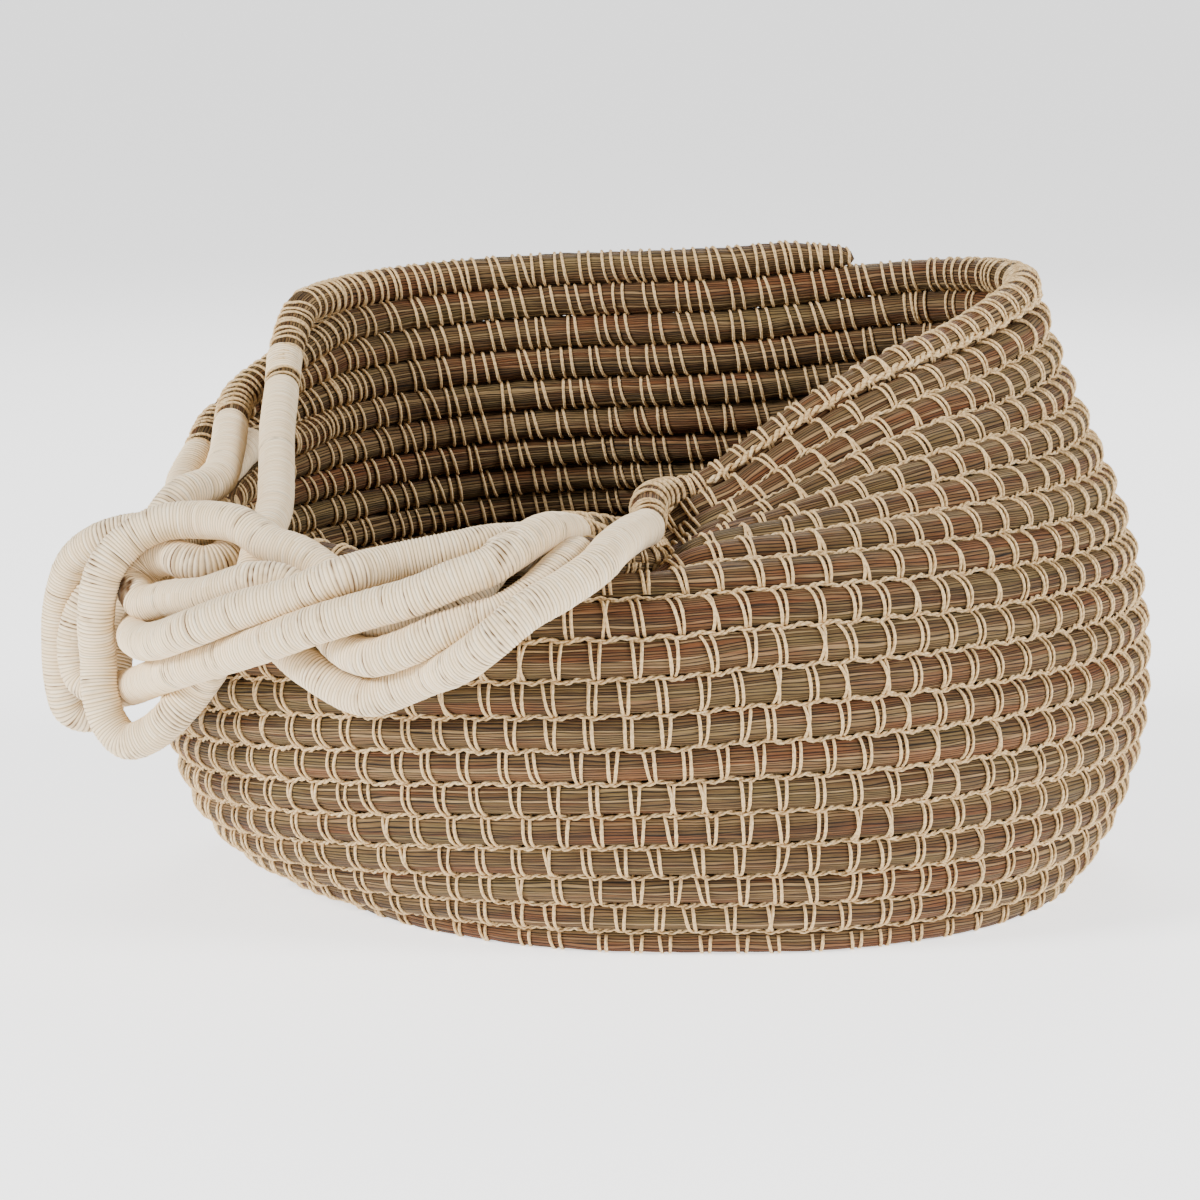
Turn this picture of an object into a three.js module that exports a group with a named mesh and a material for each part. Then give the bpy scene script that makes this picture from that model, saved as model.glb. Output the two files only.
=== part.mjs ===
// A coiled seagrass basket. One long bundle of dry seagrass is wound in a flat spiral for the floor and
// goes on up the wall, turn on turn, sewn together with cotton twine. At the front left the upper turns
// leave the wall as free strands wrapped in cotton, are laced into a loose knot of loops that stands out
// to the left, and join the wall again at the back left.
// Millimetres, +Z up, +X to the right, +Y to the back. The origin is on the ground under the basket.
// Angles round the basket are in degrees the way the coil is wound: 0 left, 90 back, 180 right, 270 front.

import * as THREE from 'three';

// Coil
const COIL_PITCH = 15.5;
const COIL_DIAMETER = 15;
const COIL_SIDES = 6;
const STEPS_PER_TURN = 24;
const FLAT_DEPTH = COIL_DIAMETER / 10;
const END_GAP = 0.3;

// Floor: straight runs joined by half turns
const BASE_RADIUS = 157;
const BASE_HALF_STRAIGHT = 18;
const BASE_CENTRE_X = 46;
const FLOOR_TURNS = 9.75;

// Turns of the wall
const FULL_COURSES = 14;
const RIM_COURSE = 19;
const TAIL_COURSE = 20;
const TAIL_END_ANGLE = 125;
const TAIL_TIP_DIAMETER = 7;
const TAIL_TAPER_STEPS = 2;

// The first turns of the wall are pulled tighter round the edge of the floor
const TIGHT_COURSES = 2;
const TIGHT_DIAMETER = 13.8;

// Where the open turns leave the wall at the front and come back to it behind, by course
const FRONT_END_ANGLE = { 15: 260, 16: 258, 17: 257, 18: 256, 19: 255 };
const BACK_START_ANGLE = { 16: 36, 17: 38, 18: 40, 19: 40, 20: 32 };

// Strands
const STRAND_DIAMETER = 13.8;
const STEPS_PER_SPAN = 2;
const LEAD_LENGTH = 7;

// Sewing twine in the outer groove between two turns, which is narrower under the two turns of the rim
const TWINE_DIAMETER = 2.4;
const TWINE_SIDES = 3;
const TWINE_SETBACK = 4.7;
const RIM_TWINE_SETBACK = 3.5;
const TWINE_MARGIN_STEPS = 1;

// Lean of the wall in degrees from flat outward, 90 upright, more than 90 inward
const FOOT_LEAN = 58;
const FOOT_LEAN_LEFT = -57;
const SIDE_LEAN = 73;
const FOOT_TOP_COURSE = 7.6;
const BELLY_LEAN = 17;
const BELLY_COURSES = [5.6, 18.3];
const SHOULDER_LEAN = 114;
const SHOULDER_COURSES = [9.4, 15.2];
const SHOULDER_RELEASE = 0.43;
const TUCK_LEAN = 45;
const TUCK_COURSES = [11.5, 13];
const BOW_LEAN = 52;
const BACK_LEAN = 38;
const BACK_COURSES = [4.6, 6.4];
const FLARE_LEAN = 41;
const FLARE_COURSES = [11.7, 19];

// Where each of these leans is strongest, and how far it reaches before and after
const FOOT_LEFT_SPAN = { centre: 10, before: 90, after: 90 };
const SHOULDER_SPAN = { centre: 293, before: 87, after: 115 };
const TUCK_SPAN = { centre: 290, before: 30, after: 35 };
const BOW_SPAN = { centre: 215, before: 83, after: 83 };
const BACK_SPAN = { centre: 90, before: 113, after: 113 };
const FLARE_SPAN = { centre: 90, before: 110, after: 110 };

// Routes of the strands between the turn that each one leaves and the turn that it joins.
// The strand is bare before point wrapFrom and after point wrapTo, and wrapped in cotton between them.
const ROUTES = [
  { name: 'wrapped_strand_1', leaves: 19, joins: 20, wrapFrom: 4, wrapTo: 24, points: [
    [31, -80, 186], [22, -105, 187], [20, -136, 181], [13, -165, 182], [5, -190, 180], [-2, -206, 175],
    [-16, -218, 167], [-30, -226, 160], [-44, -229, 149], [-58, -220, 137], [-70, -207, 130],
    [-82, -201, 124], [-94, -196, 119], [-104, -191, 120], [-117, -184, 126], [-129, -171, 132],
    [-142, -158, 144], [-148, -142, 156], [-146, -119, 171], [-144, -88, 180], [-146, -50, 191],
    [-150, -2, 207], [-151, 36, 221], [-151, 57, 235], [-148, 73, 248]] },
  { name: 'wrapped_strand_2', leaves: 18, joins: 19, wrapFrom: 5, wrapTo: 22, points: [
    [22, -90, 168], [0, -103, 173], [-14, -121, 177], [-24, -142, 177],
    [-34, -158, 178], [-48, -172, 179], [-62, -178, 177], [-85, -182, 173], [-106, -192, 169],
    [-127, -188, 160], [-150, -182, 153], [-170, -174, 144], [-188, -155, 135], [-201, -125, 131],
    [-201, -102, 136], [-200, -87, 149], [-199, -75, 167], [-189, -64, 183], [-175, -43, 187],
    [-173, -11, 194], [-174, 23, 206], [-172, 51, 216], [-150, 78, 231]] },
  { name: 'wrapped_strand_3', leaves: 17, joins: 18, wrapFrom: 5, wrapTo: 28, points: [
    [29, -105, 163], [16, -110, 164], [1, -124, 171], [-11, -151, 180], [-24, -186, 186],
    [-38, -206, 180], [-45, -210, 176], [-59, -212, 171], [-75, -211, 164], [-96, -205, 157],
    [-117, -200, 150], [-139, -187, 140], [-159, -170, 131], [-177, -154, 123], [-192, -130, 114],
    [-208, -108, 105], [-220, -96, 102], [-230, -90, 106], [-233, -88, 117], [-231, -87, 131],
    [-225, -84, 142], [-216, -71, 148], [-208, -56, 156], [-200, -38, 163], [-195, -16, 171],
    [-195, 9, 180], [-190, 31, 191], [-184, 56, 203], [-158, 81, 217]] },
  { name: 'wrapped_strand_4', leaves: 16, joins: 16, wrapFrom: 5, wrapTo: 36, points: [
    [30, -121, 162], [16, -127, 162], [3, -142, 164], [-10, -157, 166], [-25, -170, 171],
    [-38, -183, 178], [-50, -196, 167], [-63, -201, 156], [-76, -198, 152], [-90, -192, 149],
    [-104, -181, 157], [-114, -164, 165], [-126, -152, 171], [-140, -142, 174], [-155, -130, 181],
    [-173, -117, 181], [-190, -114, 179], [-204, -114, 172], [-215, -118, 159], [-219, -119, 139],
    [-219, -116, 120], [-218, -119, 104], [-214, -121, 92], [-206, -125, 85], [-195, -130, 89],
    [-184, -136, 99], [-173, -137, 112], [-165, -144, 127], [-170, -134, 141], [-178, -111, 149],
    [-184, -84, 160], [-185, -50, 170], [-182, -15, 180], [-175, 20, 186], [-167, 52, 192],
    [-149, 78, 191]] },
  { name: 'wrapped_strand_5', leaves: 15, joins: 17, wrapFrom: 5, wrapTo: 46, points: [
    [28, -137, 164], [15, -149, 168], [3, -165, 171], [-8, -181, 176], [-17, -197, 172],
    [-28, -209, 164], [-41, -214, 157], [-51, -214, 154], [-66, -214, 149], [-78, -211, 143],
    [-94, -203, 137], [-106, -191, 139], [-115, -180, 147], [-123, -173, 155], [-132, -170, 162],
    [-144, -168, 163], [-167, -153, 154], [-185, -133, 149], [-196, -122, 145], [-202, -115, 148],
    [-203, -108, 153], [-197, -105, 160], [-187, -110, 164], [-180, -117, 163], [-171, -120, 162],
    [-163, -116, 164], [-159, -107, 169], [-164, -98, 172], [-176, -95, 172], [-188, -95, 172], [-205, -91, 172],
    [-219, -90, 168], [-233, -82, 157], [-240, -77, 139], [-242, -76, 121], [-241, -75, 97],
    [-238, -73, 88], [-231, -70, 85], [-224, -66, 88], [-221, -62, 97], [-220, -50, 119],
    [-216, -35, 138], [-208, -12, 155], [-200, 19, 168], [-187, 51, 184], [-162, 81, 200]] },
];

const ORIGIN_SHIFT = { x: -3.6, y: 20.7 };

const COLOURS = { seagrass: 0x9b8862, cotton: 0xe9e0ce, twine: 0xd8cbb2 };

const radians = THREE.MathUtils.degToRad;
const ease = (from, to, x) => THREE.MathUtils.smoothstep(x, from, to);

function bump(angle, span) {
  const offset = THREE.MathUtils.euclideanModulo(angle - span.centre + 180, 360) - 180;
  const reach = offset < 0 ? span.before : span.after;
  return Math.abs(offset) < reach ? Math.cos(radians(90) * offset / reach) ** 2 : 0;
}

// Lean of the step that arrives at a course, at an angle round the basket
function lean(course, angle) {
  const foot = FOOT_LEAN + FOOT_LEAN_LEFT * bump(angle, FOOT_LEFT_SPAN);
  const shoulder = ease(...SHOULDER_COURSES, course)
    - SHOULDER_RELEASE * ease(SHOULDER_COURSES[1], RIM_COURSE, course);
  return foot + (SIDE_LEAN - foot) * ease(1, FOOT_TOP_COURSE, course)
    + BELLY_LEAN * ease(...BELLY_COURSES, course)
    + SHOULDER_LEAN * bump(angle, SHOULDER_SPAN) * shoulder
    + TUCK_LEAN * bump(angle, TUCK_SPAN) * ease(...TUCK_COURSES, course)
    + BOW_LEAN * bump(angle, BOW_SPAN) * ease(0, RIM_COURSE, course)
    + BACK_LEAN * bump(angle, BACK_SPAN) * ease(...BACK_COURSES, course)
    - FLARE_LEAN * bump(angle, FLARE_SPAN) * ease(...FLARE_COURSES, course);
}

// The floor's outline: each straight run takes this many degrees of the angle on each side of its middle
const STRAIGHT_REACH = 10;
const BEND_RATE = 90 / (90 - STRAIGHT_REACH);

function outline(angle, radius, centreY = 0) {
  const height = COIL_DIAMETER / 2 - FLAT_DEPTH;
  const back = angle - 90;
  const front = 270 - angle;
  if (Math.abs(back) < STRAIGHT_REACH || Math.abs(front) < STRAIGHT_REACH) {
    const atBack = Math.abs(back) < STRAIGHT_REACH;
    const share = (atBack ? back : front) / STRAIGHT_REACH;
    const y = atBack ? centreY + radius : centreY - radius;
    return new THREE.Vector3(BASE_CENTRE_X + share * BASE_HALF_STRAIGHT, y, height);
  }
  const right = angle > 90 && angle < 270;
  const turned = right ? 180 - angle : (angle > 180 ? angle - 360 : angle);
  const bend = radians(turned * BEND_RATE);
  const side = right ? 1 : -1;
  const x = BASE_CENTRE_X + side * (BASE_HALF_STRAIGHT + radius * Math.cos(bend));
  return new THREE.Vector3(x, centreY + radius * Math.sin(bend), height);
}

// Share of one pitch that the coil has climbed at an angle, 0 to 1 round one turn.
// It climbs in the bends only, so that straight runs stay a full pitch apart.
function climb(angle) {
  if (angle <= 90) {
    return 0.25 * Math.sin(radians(Math.min(angle * BEND_RATE, 90)));
  }
  if (angle < 270) {
    const bend = THREE.MathUtils.clamp((angle - 180) * BEND_RATE, -90, 90);
    return 0.5 + 0.25 * Math.sin(radians(bend));
  }
  return 1 - 0.25 * Math.sin(radians(Math.min((360 - angle) * BEND_RATE, 90)));
}

// The wall is marched up course by course on fine stations, three to each step of the coil,
// closer together at the two ends of the basket, where it bends most
const FINE = 3;
const STATIONS = STEPS_PER_TURN * FINE;
const CROWDING = 0.15;
const floorPitch = BASE_RADIUS / FLOOR_TURNS;

function stationAngle(share) {
  return 360 * share - CROWDING * 360 / (4 * Math.PI) * Math.sin(4 * Math.PI * share);
}

const stationAngles = Array.from({ length: STATIONS + 1 }, (_, i) => stationAngle(i / STATIONS));

function marchWall() {
  const angles = stationAngles.slice(0, STATIONS);
  const curves = [
    angles.map((angle) => outline(angle, BASE_RADIUS - floorPitch)),
    angles.map((angle) => outline(angle, BASE_RADIUS)),
  ];
  for (let course = 2; course <= TAIL_COURSE + 2; course += 1) {
    const last = curves[course - 1];
    curves.push(last.map((point, i) => {
      const next = last[(i + 1) % STATIONS];
      const before = last[(i + STATIONS - 1) % STATIONS];
      const along = next.clone().sub(before).normalize();
      const outward = new THREE.Vector3(-along.y, along.x, 0).normalize();
      const upward = along.clone().cross(outward);
      const angle = radians(lean(course, angles[i]));
      return point.clone()
        .addScaledVector(outward, COIL_PITCH * Math.cos(angle))
        .addScaledVector(upward, COIL_PITCH * Math.sin(angle));
    }));
  }
  return curves;
}

const wallCurves = marchWall();

// Point on the wall at a height counted in courses, at station number (a fraction is allowed)
function wallPoint(height, station) {
  const level = Math.floor(height);
  const index = Math.floor(station);
  const at = (h, s) => wallCurves[h][((s % STATIONS) + STATIONS) % STATIONS];
  const lower = at(level, index).clone().lerp(at(level, index + 1), station - index);
  const upper = at(level + 1, index).clone().lerp(at(level + 1, index + 1), station - index);
  return lower.lerp(upper, height - level);
}

function angleAt(station) {
  const index = Math.min(Math.floor(station), STATIONS - 1);
  return THREE.MathUtils.lerp(stationAngles[index], stationAngles[index + 1], station - index);
}

function stationOf(angle) {
  const index = stationAngles.findIndex((value) => value > angle) - 1;
  if (index < 0) {
    return STATIONS;
  }
  return index + (angle - stationAngles[index]) / (stationAngles[index + 1] - stationAngles[index]);
}

// A course is the turn of the coil that is a whole number of pitches up at the front
const courseHeight = (course, station) => course - 0.75 + climb(angleAt(station));
const coursePoint = (course, station) => wallPoint(courseHeight(course, station), station);

// The same, on into the turn before or after when the station is past the end of the course
function coilPoint(course, station) {
  if (station < 0) {
    return coursePoint(course - 1, station + STATIONS);
  }
  return station > STATIONS ? coursePoint(course + 1, station - STATIONS) : coursePoint(course, station);
}

// One ring of a tube: its centre, the way along the tube, and the way to its first corner
function ring(centre, along, side, diameter) {
  const square = side.clone().addScaledVector(along, -side.dot(along)).normalize();
  return { centre, along: along.clone(), side: square, diameter };
}

function courseRing(course, station, diameter = COIL_DIAMETER) {
  const reach = 0.5;
  const before = coilPoint(course, station - reach);
  const after = coilPoint(course, station + reach);
  const height = courseHeight(course, station);
  const side = wallPoint(height + 1, station).sub(wallPoint(Math.max(height - 1, 0), station));
  return ring(coursePoint(course, station), after.sub(before).normalize(), side, diameter);
}

// The stations of a stretch of a course: its two ends and every step of the coil between them
function stretch(from, to, margin = 0.35) {
  const stations = [from];
  for (let station = 0; station <= STATIONS; station += FINE) {
    if (station > from + margin * FINE && station < to - margin * FINE) {
      stations.push(station);
    }
  }
  stations.push(to);
  return stations;
}

function shifted(oneRing, distance) {
  const centre = oneRing.centre.clone().addScaledVector(oneRing.along, distance);
  return { ...oneRing, centre };
}

function withEndGaps(rings) {
  const last = rings.length - 1;
  return rings.map((one, i) => {
    const push = i === 0 ? END_GAP / 2 : (i === last ? -END_GAP / 2 : 0);
    return push === 0 ? one : shifted(one, push);
  });
}

// A closed tube through rings, with flat end faces. Nothing of it goes below the ground.
function tubeGeometry(rings, sides) {
  const positions = [];
  for (const one of rings) {
    const up = one.along.clone().cross(one.side);
    for (let corner = 0; corner < sides; corner += 1) {
      const turn = 2 * Math.PI * corner / sides;
      const point = one.centre.clone()
        .addScaledVector(one.side, Math.cos(turn) * one.diameter / 2)
        .addScaledVector(up, Math.sin(turn) * one.diameter / 2);
      positions.push(point.x, point.y, Math.max(point.z, 0));
    }
  }
  const faces = [];
  const last = (rings.length - 1) * sides;
  for (let start = 0; start < last; start += sides) {
    for (let corner = 0; corner < sides; corner += 1) {
      const a = start + corner;
      const b = start + (corner + 1) % sides;
      faces.push(a, b, b + sides, a, b + sides, a + sides);
    }
  }
  for (let corner = 1; corner < sides - 1; corner += 1) {
    faces.push(0, corner + 1, corner);
    faces.push(last, last + corner, last + corner + 1);
  }
  const geometry = new THREE.BufferGeometry();
  geometry.setAttribute('position', new THREE.Float32BufferAttribute(positions, 3));
  geometry.setIndex(faces);
  return geometry;
}

const materials = {
  seagrass: new THREE.MeshStandardMaterial({ color: COLOURS.seagrass, roughness: 0.85, metalness: 0 }),
  cotton: new THREE.MeshStandardMaterial({ color: COLOURS.cotton, roughness: 0.9, metalness: 0 }),
  twine: new THREE.MeshStandardMaterial({ color: COLOURS.twine, roughness: 0.9, metalness: 0 }),
};

const basket = new THREE.Group();

function addTube(name, rings, sides, material) {
  const mesh = new THREE.Mesh(tubeGeometry(rings, sides), materials[material]);
  mesh.name = name;
  basket.add(mesh);
}

// Least distance between two parts of one tube's centre line, less its diameter. Parts that follow each
// other along the tube closer than one and a half diameters are not compared.
function leastSelfGap(rings, diameter) {
  const walked = [0];
  for (let i = 1; i < rings.length; i += 1) {
    walked.push(walked[i - 1] + rings[i].centre.distanceTo(rings[i - 1].centre));
  }
  let least = Infinity;
  for (let i = 0; i < rings.length - 1; i += 1) {
    const line = new THREE.Line3(rings[i].centre, rings[i + 1].centre);
    for (let j = 0; j < rings.length; j += 1) {
      const apart = Math.min(Math.abs(walked[j] - walked[i]), Math.abs(walked[j] - walked[i + 1]));
      if (apart > 1.5 * diameter) {
        const near = line.closestPointToPoint(rings[j].centre, true, new THREE.Vector3());
        least = Math.min(least, near.distanceTo(rings[j].centre) - diameter);
      }
    }
  }
  return least;
}

// Floor: half turns about two centres a quarter of a pitch either side of the middle line, which keeps
// every turn one floor pitch from the next. Progress counts stations, and is 0 at the left end of turn 0.
const firstFloorTurn = 1 - Math.floor(FLOOR_TURNS);

// The floor ends on the middle line, a little before its last half turn about its own centre is full
const floorEndTurn = THREE.MathUtils.radToDeg(Math.asin(0.25 / (FLOOR_TURNS - 0.75))) / BEND_RATE;

function floorPoint(progress) {
  const turn = Math.min(Math.floor(progress / STATIONS), 0);
  const angle = angleAt(progress - turn * STATIONS);
  const right = angle > 90 && angle < 270;
  const halfTurns = angle <= 90 ? 0 : (right ? 1 : 2);
  const radius = floorPitch * (turn + FLOOR_TURNS - 1.75 + halfTurns / 2);
  return outline(angle, radius, right ? -floorPitch / 4 : floorPitch / 4);
}

function floorRing(progress) {
  const reach = 0.5;
  const before = floorPoint(progress - reach);
  const after = floorPoint(progress + reach);
  const along = after.sub(before).normalize();
  const outward = new THREE.Vector3(-along.y, along.x, 0);
  return ring(floorPoint(progress), along, outward, COIL_DIAMETER);
}

function floorRings() {
  const start = firstFloorTurn * STATIONS + stationOf(90 - STRAIGHT_REACH);
  const tightEnd = (firstFloorTurn + 0.75) * STATIONS;
  const progresses = [start];
  for (let progress = firstFloorTurn * STATIONS; progress <= STATIONS; progress += FINE) {
    const skipped = progress < tightEnd && progress % (2 * FINE) !== 0;
    if (progress > start + FINE / 3 && !skipped) {
      progresses.push(progress);
    }
  }
  progresses[progresses.length - 1] = stationOf(360 - floorEndTurn);
  return withEndGaps(progresses.map(floorRing));
}

// Rings along a route, from the end of the turn that it leaves to the start of the turn that it joins.
// The rings' corners are carried on without twist, forward from the one or backward from the other.
function carried(centres, alongs, side, diameterAt) {
  const rings = [];
  let carriedSide = side;
  for (let i = 0; i < centres.length; i += 1) {
    const one = ring(centres[i], alongs[i], carriedSide, diameterAt(i));
    carriedSide = one.side;
    rings.push(one);
  }
  return rings;
}

function routeRings(route) {
  const start = courseRing(route.leaves, stationOf(FRONT_END_ANGLE[route.leaves]));
  const end = courseRing(route.joins, stationOf(BACK_START_ANGLE[route.joins]));
  const points = [
    start.centre,
    shifted(start, LEAD_LENGTH).centre,
    ...route.points.map((point) => new THREE.Vector3(...point)),
    shifted(end, -LEAD_LENGTH).centre,
    end.centre,
  ];
  const curve = new THREE.CatmullRomCurve3(points, false, 'centripetal');
  const count = (points.length - 1) * STEPS_PER_SPAN;
  const shares = Array.from({ length: count + 1 }, (_, i) => i / count);
  const centres = shares.map((share) => curve.getPoint(share));
  const alongs = shares.map((share) => curve.getTangent(share));
  const diameterAt = (i) => (i === 0 ? COIL_DIAMETER : STRAND_DIAMETER);
  const forward = carried(centres, alongs, start.side, diameterAt);
  const backward = carried(centres.reverse(), alongs.reverse(), end.side, diameterAt).reverse();
  const from = route.wrapFrom * STEPS_PER_SPAN;
  const to = route.wrapTo * STEPS_PER_SPAN;
  return {
    frontLead: forward.slice(1, from + 1),
    wrapped: forward.slice(from, to + 1),
    backLead: backward.slice(to, count),
  };
}

const routes = ROUTES.map((route) => ({ ...route, ...routeRings(route) }));

// The tail of the coil is bound with cotton for a short way before it bends down at the back left
const tailRoute = routes.find((route) => route.joins === TAIL_COURSE);
const bindingRings = tailRoute.backLead.slice(0, STEPS_PER_SPAN + 1);
tailRoute.backLead = tailRoute.backLead.slice(STEPS_PER_SPAN);

// A turn of the wall, with the bare lengths that join it to the strands
function courseRings(course) {
  const backRoute = routes.find((route) => route.joins === course);
  const frontRoute = routes.find((route) => route.leaves === course);
  const from = backRoute ? stationOf(BACK_START_ANGLE[course]) : 0;
  const tail = course === TAIL_COURSE;
  const to = tail ? stationOf(TAIL_END_ANGLE) : (frontRoute ? stationOf(FRONT_END_ANGLE[course]) : STATIONS);
  const stations = stretch(from, to);
  const tapered = stations.length - 1 - TAIL_TAPER_STEPS;
  const rings = stations.map((station, i) => {
    const narrowing = tail ? Math.max(i - tapered, 0) / TAIL_TAPER_STEPS : 0;
    const full = course <= TIGHT_COURSES ? TIGHT_DIAMETER : COIL_DIAMETER;
    return courseRing(course, station, THREE.MathUtils.lerp(full, TAIL_TIP_DIAMETER, narrowing));
  });
  const back = backRoute ? backRoute.backLead : [];
  const front = frontRoute ? frontRoute.frontLead : [];
  return withEndGaps([...back, ...rings, ...front]);
}

// One ring of the twine in the groove between a turn and the turn above it
function seamRing(course, station) {
  const lower = courseRing(course, station);
  const side = coursePoint(course + 1, station).sub(lower.centre);
  const outward = side.clone().cross(lower.along).normalize();
  const setback = course < RIM_COURSE - 1 ? TWINE_SETBACK : RIM_TWINE_SETBACK;
  const centre = lower.centre.clone().addScaledVector(side, 0.5).addScaledVector(outward, setback);
  return ring(centre, lower.along, side, TWINE_DIAMETER);
}

function seamRings(course, from, to) {
  return stretch(from, to).map((station) => seamRing(course, station));
}

const margin = TWINE_MARGIN_STEPS * FINE;

function wallSeamRings() {
  const rings = [];
  for (let course = 1; course < FULL_COURSES; course += 1) {
    rings.push(...seamRings(course, course === 1 ? margin : 0, STATIONS).slice(0, -1));
  }
  const end = stationOf(FRONT_END_ANGLE[FULL_COURSES + 1]) - margin;
  return [...rings, ...seamRings(FULL_COURSES, 0, end)];
}

const floorCoil = floorRings();
addTube('floor_coil', floorCoil, COIL_SIDES, 'seagrass');

for (let course = 1; course <= TAIL_COURSE; course += 1) {
  const kind = course <= FULL_COURSES ? 'wall' : (course < RIM_COURSE ? 'shoulder' : 'rim');
  const name = course === TAIL_COURSE ? 'rim_tail' : `${kind}_course_${String(course).padStart(2, '0')}`;
  addTube(name, courseRings(course), COIL_SIDES, 'seagrass');
}

for (const route of routes) {
  addTube(route.name, withEndGaps(route.wrapped), COIL_SIDES, 'cotton');
}
addTube('tail_binding', withEndGaps(bindingRings), COIL_SIDES, 'cotton');

const wallSeam = wallSeamRings();
addTube('wall_seam_twine', wallSeam, TWINE_SIDES, 'twine');

for (let course = FULL_COURSES + 1; course < TAIL_COURSE; course += 1) {
  const from = Math.max(BACK_START_ANGLE[course] ?? 0, BACK_START_ANGLE[course + 1]);
  const to = Math.min(FRONT_END_ANGLE[course], FRONT_END_ANGLE[course + 1] ?? TAIL_END_ANGLE);
  const rings = seamRings(course, stationOf(from) + margin, stationOf(to) - margin);
  addTube(`seam_twine_${course}_${course + 1}`, rings, TWINE_SIDES, 'twine');
}

console.log('floor_coil least gap to itself, mm:', leastSelfGap(floorCoil, COIL_DIAMETER).toFixed(2));
console.log('wall_seam_twine least gap to itself, mm:', leastSelfGap(wallSeam, TWINE_DIAMETER).toFixed(2));
for (const route of routes) {
  console.log(`${route.name} least gap to itself, mm:`, leastSelfGap(route.wrapped, STRAND_DIAMETER).toFixed(2));
}

// The origin goes to the middle of the whole basket's outline on the ground
for (const mesh of basket.children) {
  mesh.geometry.translate(ORIGIN_SHIFT.x, ORIGIN_SHIFT.y, 0);
}

export default basket;
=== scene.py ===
# A coiled seagrass basket. A bundle of dry seagrass winds in a flat spiral for the floor and on up the
# wall, sewn turn to turn with cotton twine. Its five top turns leave the wall at the front left as strands
# wrapped in cotton, which are laced into a big loose knot and join the wall again at the back left.
# Routes and wall sizes are in millimetres, everything made from them is in metres.
# Angles round the basket are in degrees the way the coil is wound: 0 left, 90 back, 180 right, 270 front.

import math

import bpy
import numpy as np
from mathutils import Matrix, Vector
from mathutils.kdtree import KDTree


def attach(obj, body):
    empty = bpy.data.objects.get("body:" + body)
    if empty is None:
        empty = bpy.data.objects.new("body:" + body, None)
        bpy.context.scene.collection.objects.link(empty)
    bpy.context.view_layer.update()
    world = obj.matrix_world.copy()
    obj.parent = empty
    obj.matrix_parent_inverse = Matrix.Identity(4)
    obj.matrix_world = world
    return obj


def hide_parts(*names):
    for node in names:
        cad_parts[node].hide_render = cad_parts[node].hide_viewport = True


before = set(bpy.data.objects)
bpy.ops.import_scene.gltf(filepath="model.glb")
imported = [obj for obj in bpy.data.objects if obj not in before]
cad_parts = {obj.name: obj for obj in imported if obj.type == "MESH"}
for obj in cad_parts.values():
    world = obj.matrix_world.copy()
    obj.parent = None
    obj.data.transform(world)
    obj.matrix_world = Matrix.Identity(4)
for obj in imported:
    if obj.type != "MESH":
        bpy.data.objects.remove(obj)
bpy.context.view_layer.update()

bl_info = {
    "name": "Coiled seagrass basket",
    "version": (1, 0, 0),
    "blender": (4, 5, 0),
    "location": "View3D > Sidebar > Basket",
    "description": "Makes a coiled seagrass basket with a knot of cotton-wrapped strands",
    "category": "Add Mesh",
}

MM = 0.001

# Wall of the basket: turns of the coil, counted upward from 1 and one pitch apart along the wall
PITCH = 15.5
COIL_DIAMETER = 15
FLAT_DEPTH = COIL_DIAMETER / 10
BASE_RADIUS = 157
BASE_HALF_STRAIGHT = 18
BASE_CENTRE_X = 46
FLOOR_TURNS = 9.75
FLOOR_PITCH = BASE_RADIUS / FLOOR_TURNS
FLOOR_START_ANGLE = 80
FULL_TURNS = 14
RIM_TURN = 19
TAIL_TURN = 20
TAIL_END_ANGLE = 125
TAIL_TAPER_ANGLE = 114
TAIL_TIP_SHARE = 0.6
TAIL_NOSE_ANGLE = 2
TAIL_NOSE_ROUNDING = 0.85
BARE_SHARE = 0.92
FRONT_END_ANGLE = {15: 260, 16: 258, 17: 257, 18: 256, 19: 255}
BACK_START_ANGLE = {16: 36, 17: 38, 18: 40, 19: 40, 20: 32}
ORIGIN_SHIFT = np.array([-3.6, 20.7, 0.0])

# Lean of the wall in degrees from flat outward. Each part of it comes in over its *_TURNS, and is strongest
# at the first angle of its *_SPAN, which then says how far it reaches before and after that angle.
FOOT_LEAN, FOOT_LEAN_LEFT, SIDE_LEAN, FOOT_TOP_TURN = 58, -57, 73, 7.6
BELLY_LEAN, BELLY_TURNS = 17, (5.6, 18.3)
SHOULDER_LEAN, SHOULDER_TURNS, SHOULDER_RELEASE = 114, (9.4, 15.2), 0.43
TUCK_LEAN, TUCK_TURNS = 45, (11.5, 13)
BOW_LEAN = 52
BACK_LEAN, BACK_TURNS = 38, (4.6, 6.4)
FLARE_LEAN, FLARE_TURNS = 41, (11.7, 19)
FOOT_LEFT_SPAN = (10, 90, 90)
SHOULDER_SPAN = (293, 87, 115)
TUCK_SPAN = (290, 30, 35)
BOW_SPAN = (215, 83, 83)
BACK_SPAN = (90, 113, 113)
FLARE_SPAN = (90, 110, 110)
STRAIGHT_REACH = 10
BEND_RATE = 90 / (90 - STRAIGHT_REACH)

# Steps round one turn, which crowd a little in the bends at the left and right ends
STATIONS = 72
CROWDING = 0.15
STATION_POINTS = 8

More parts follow.
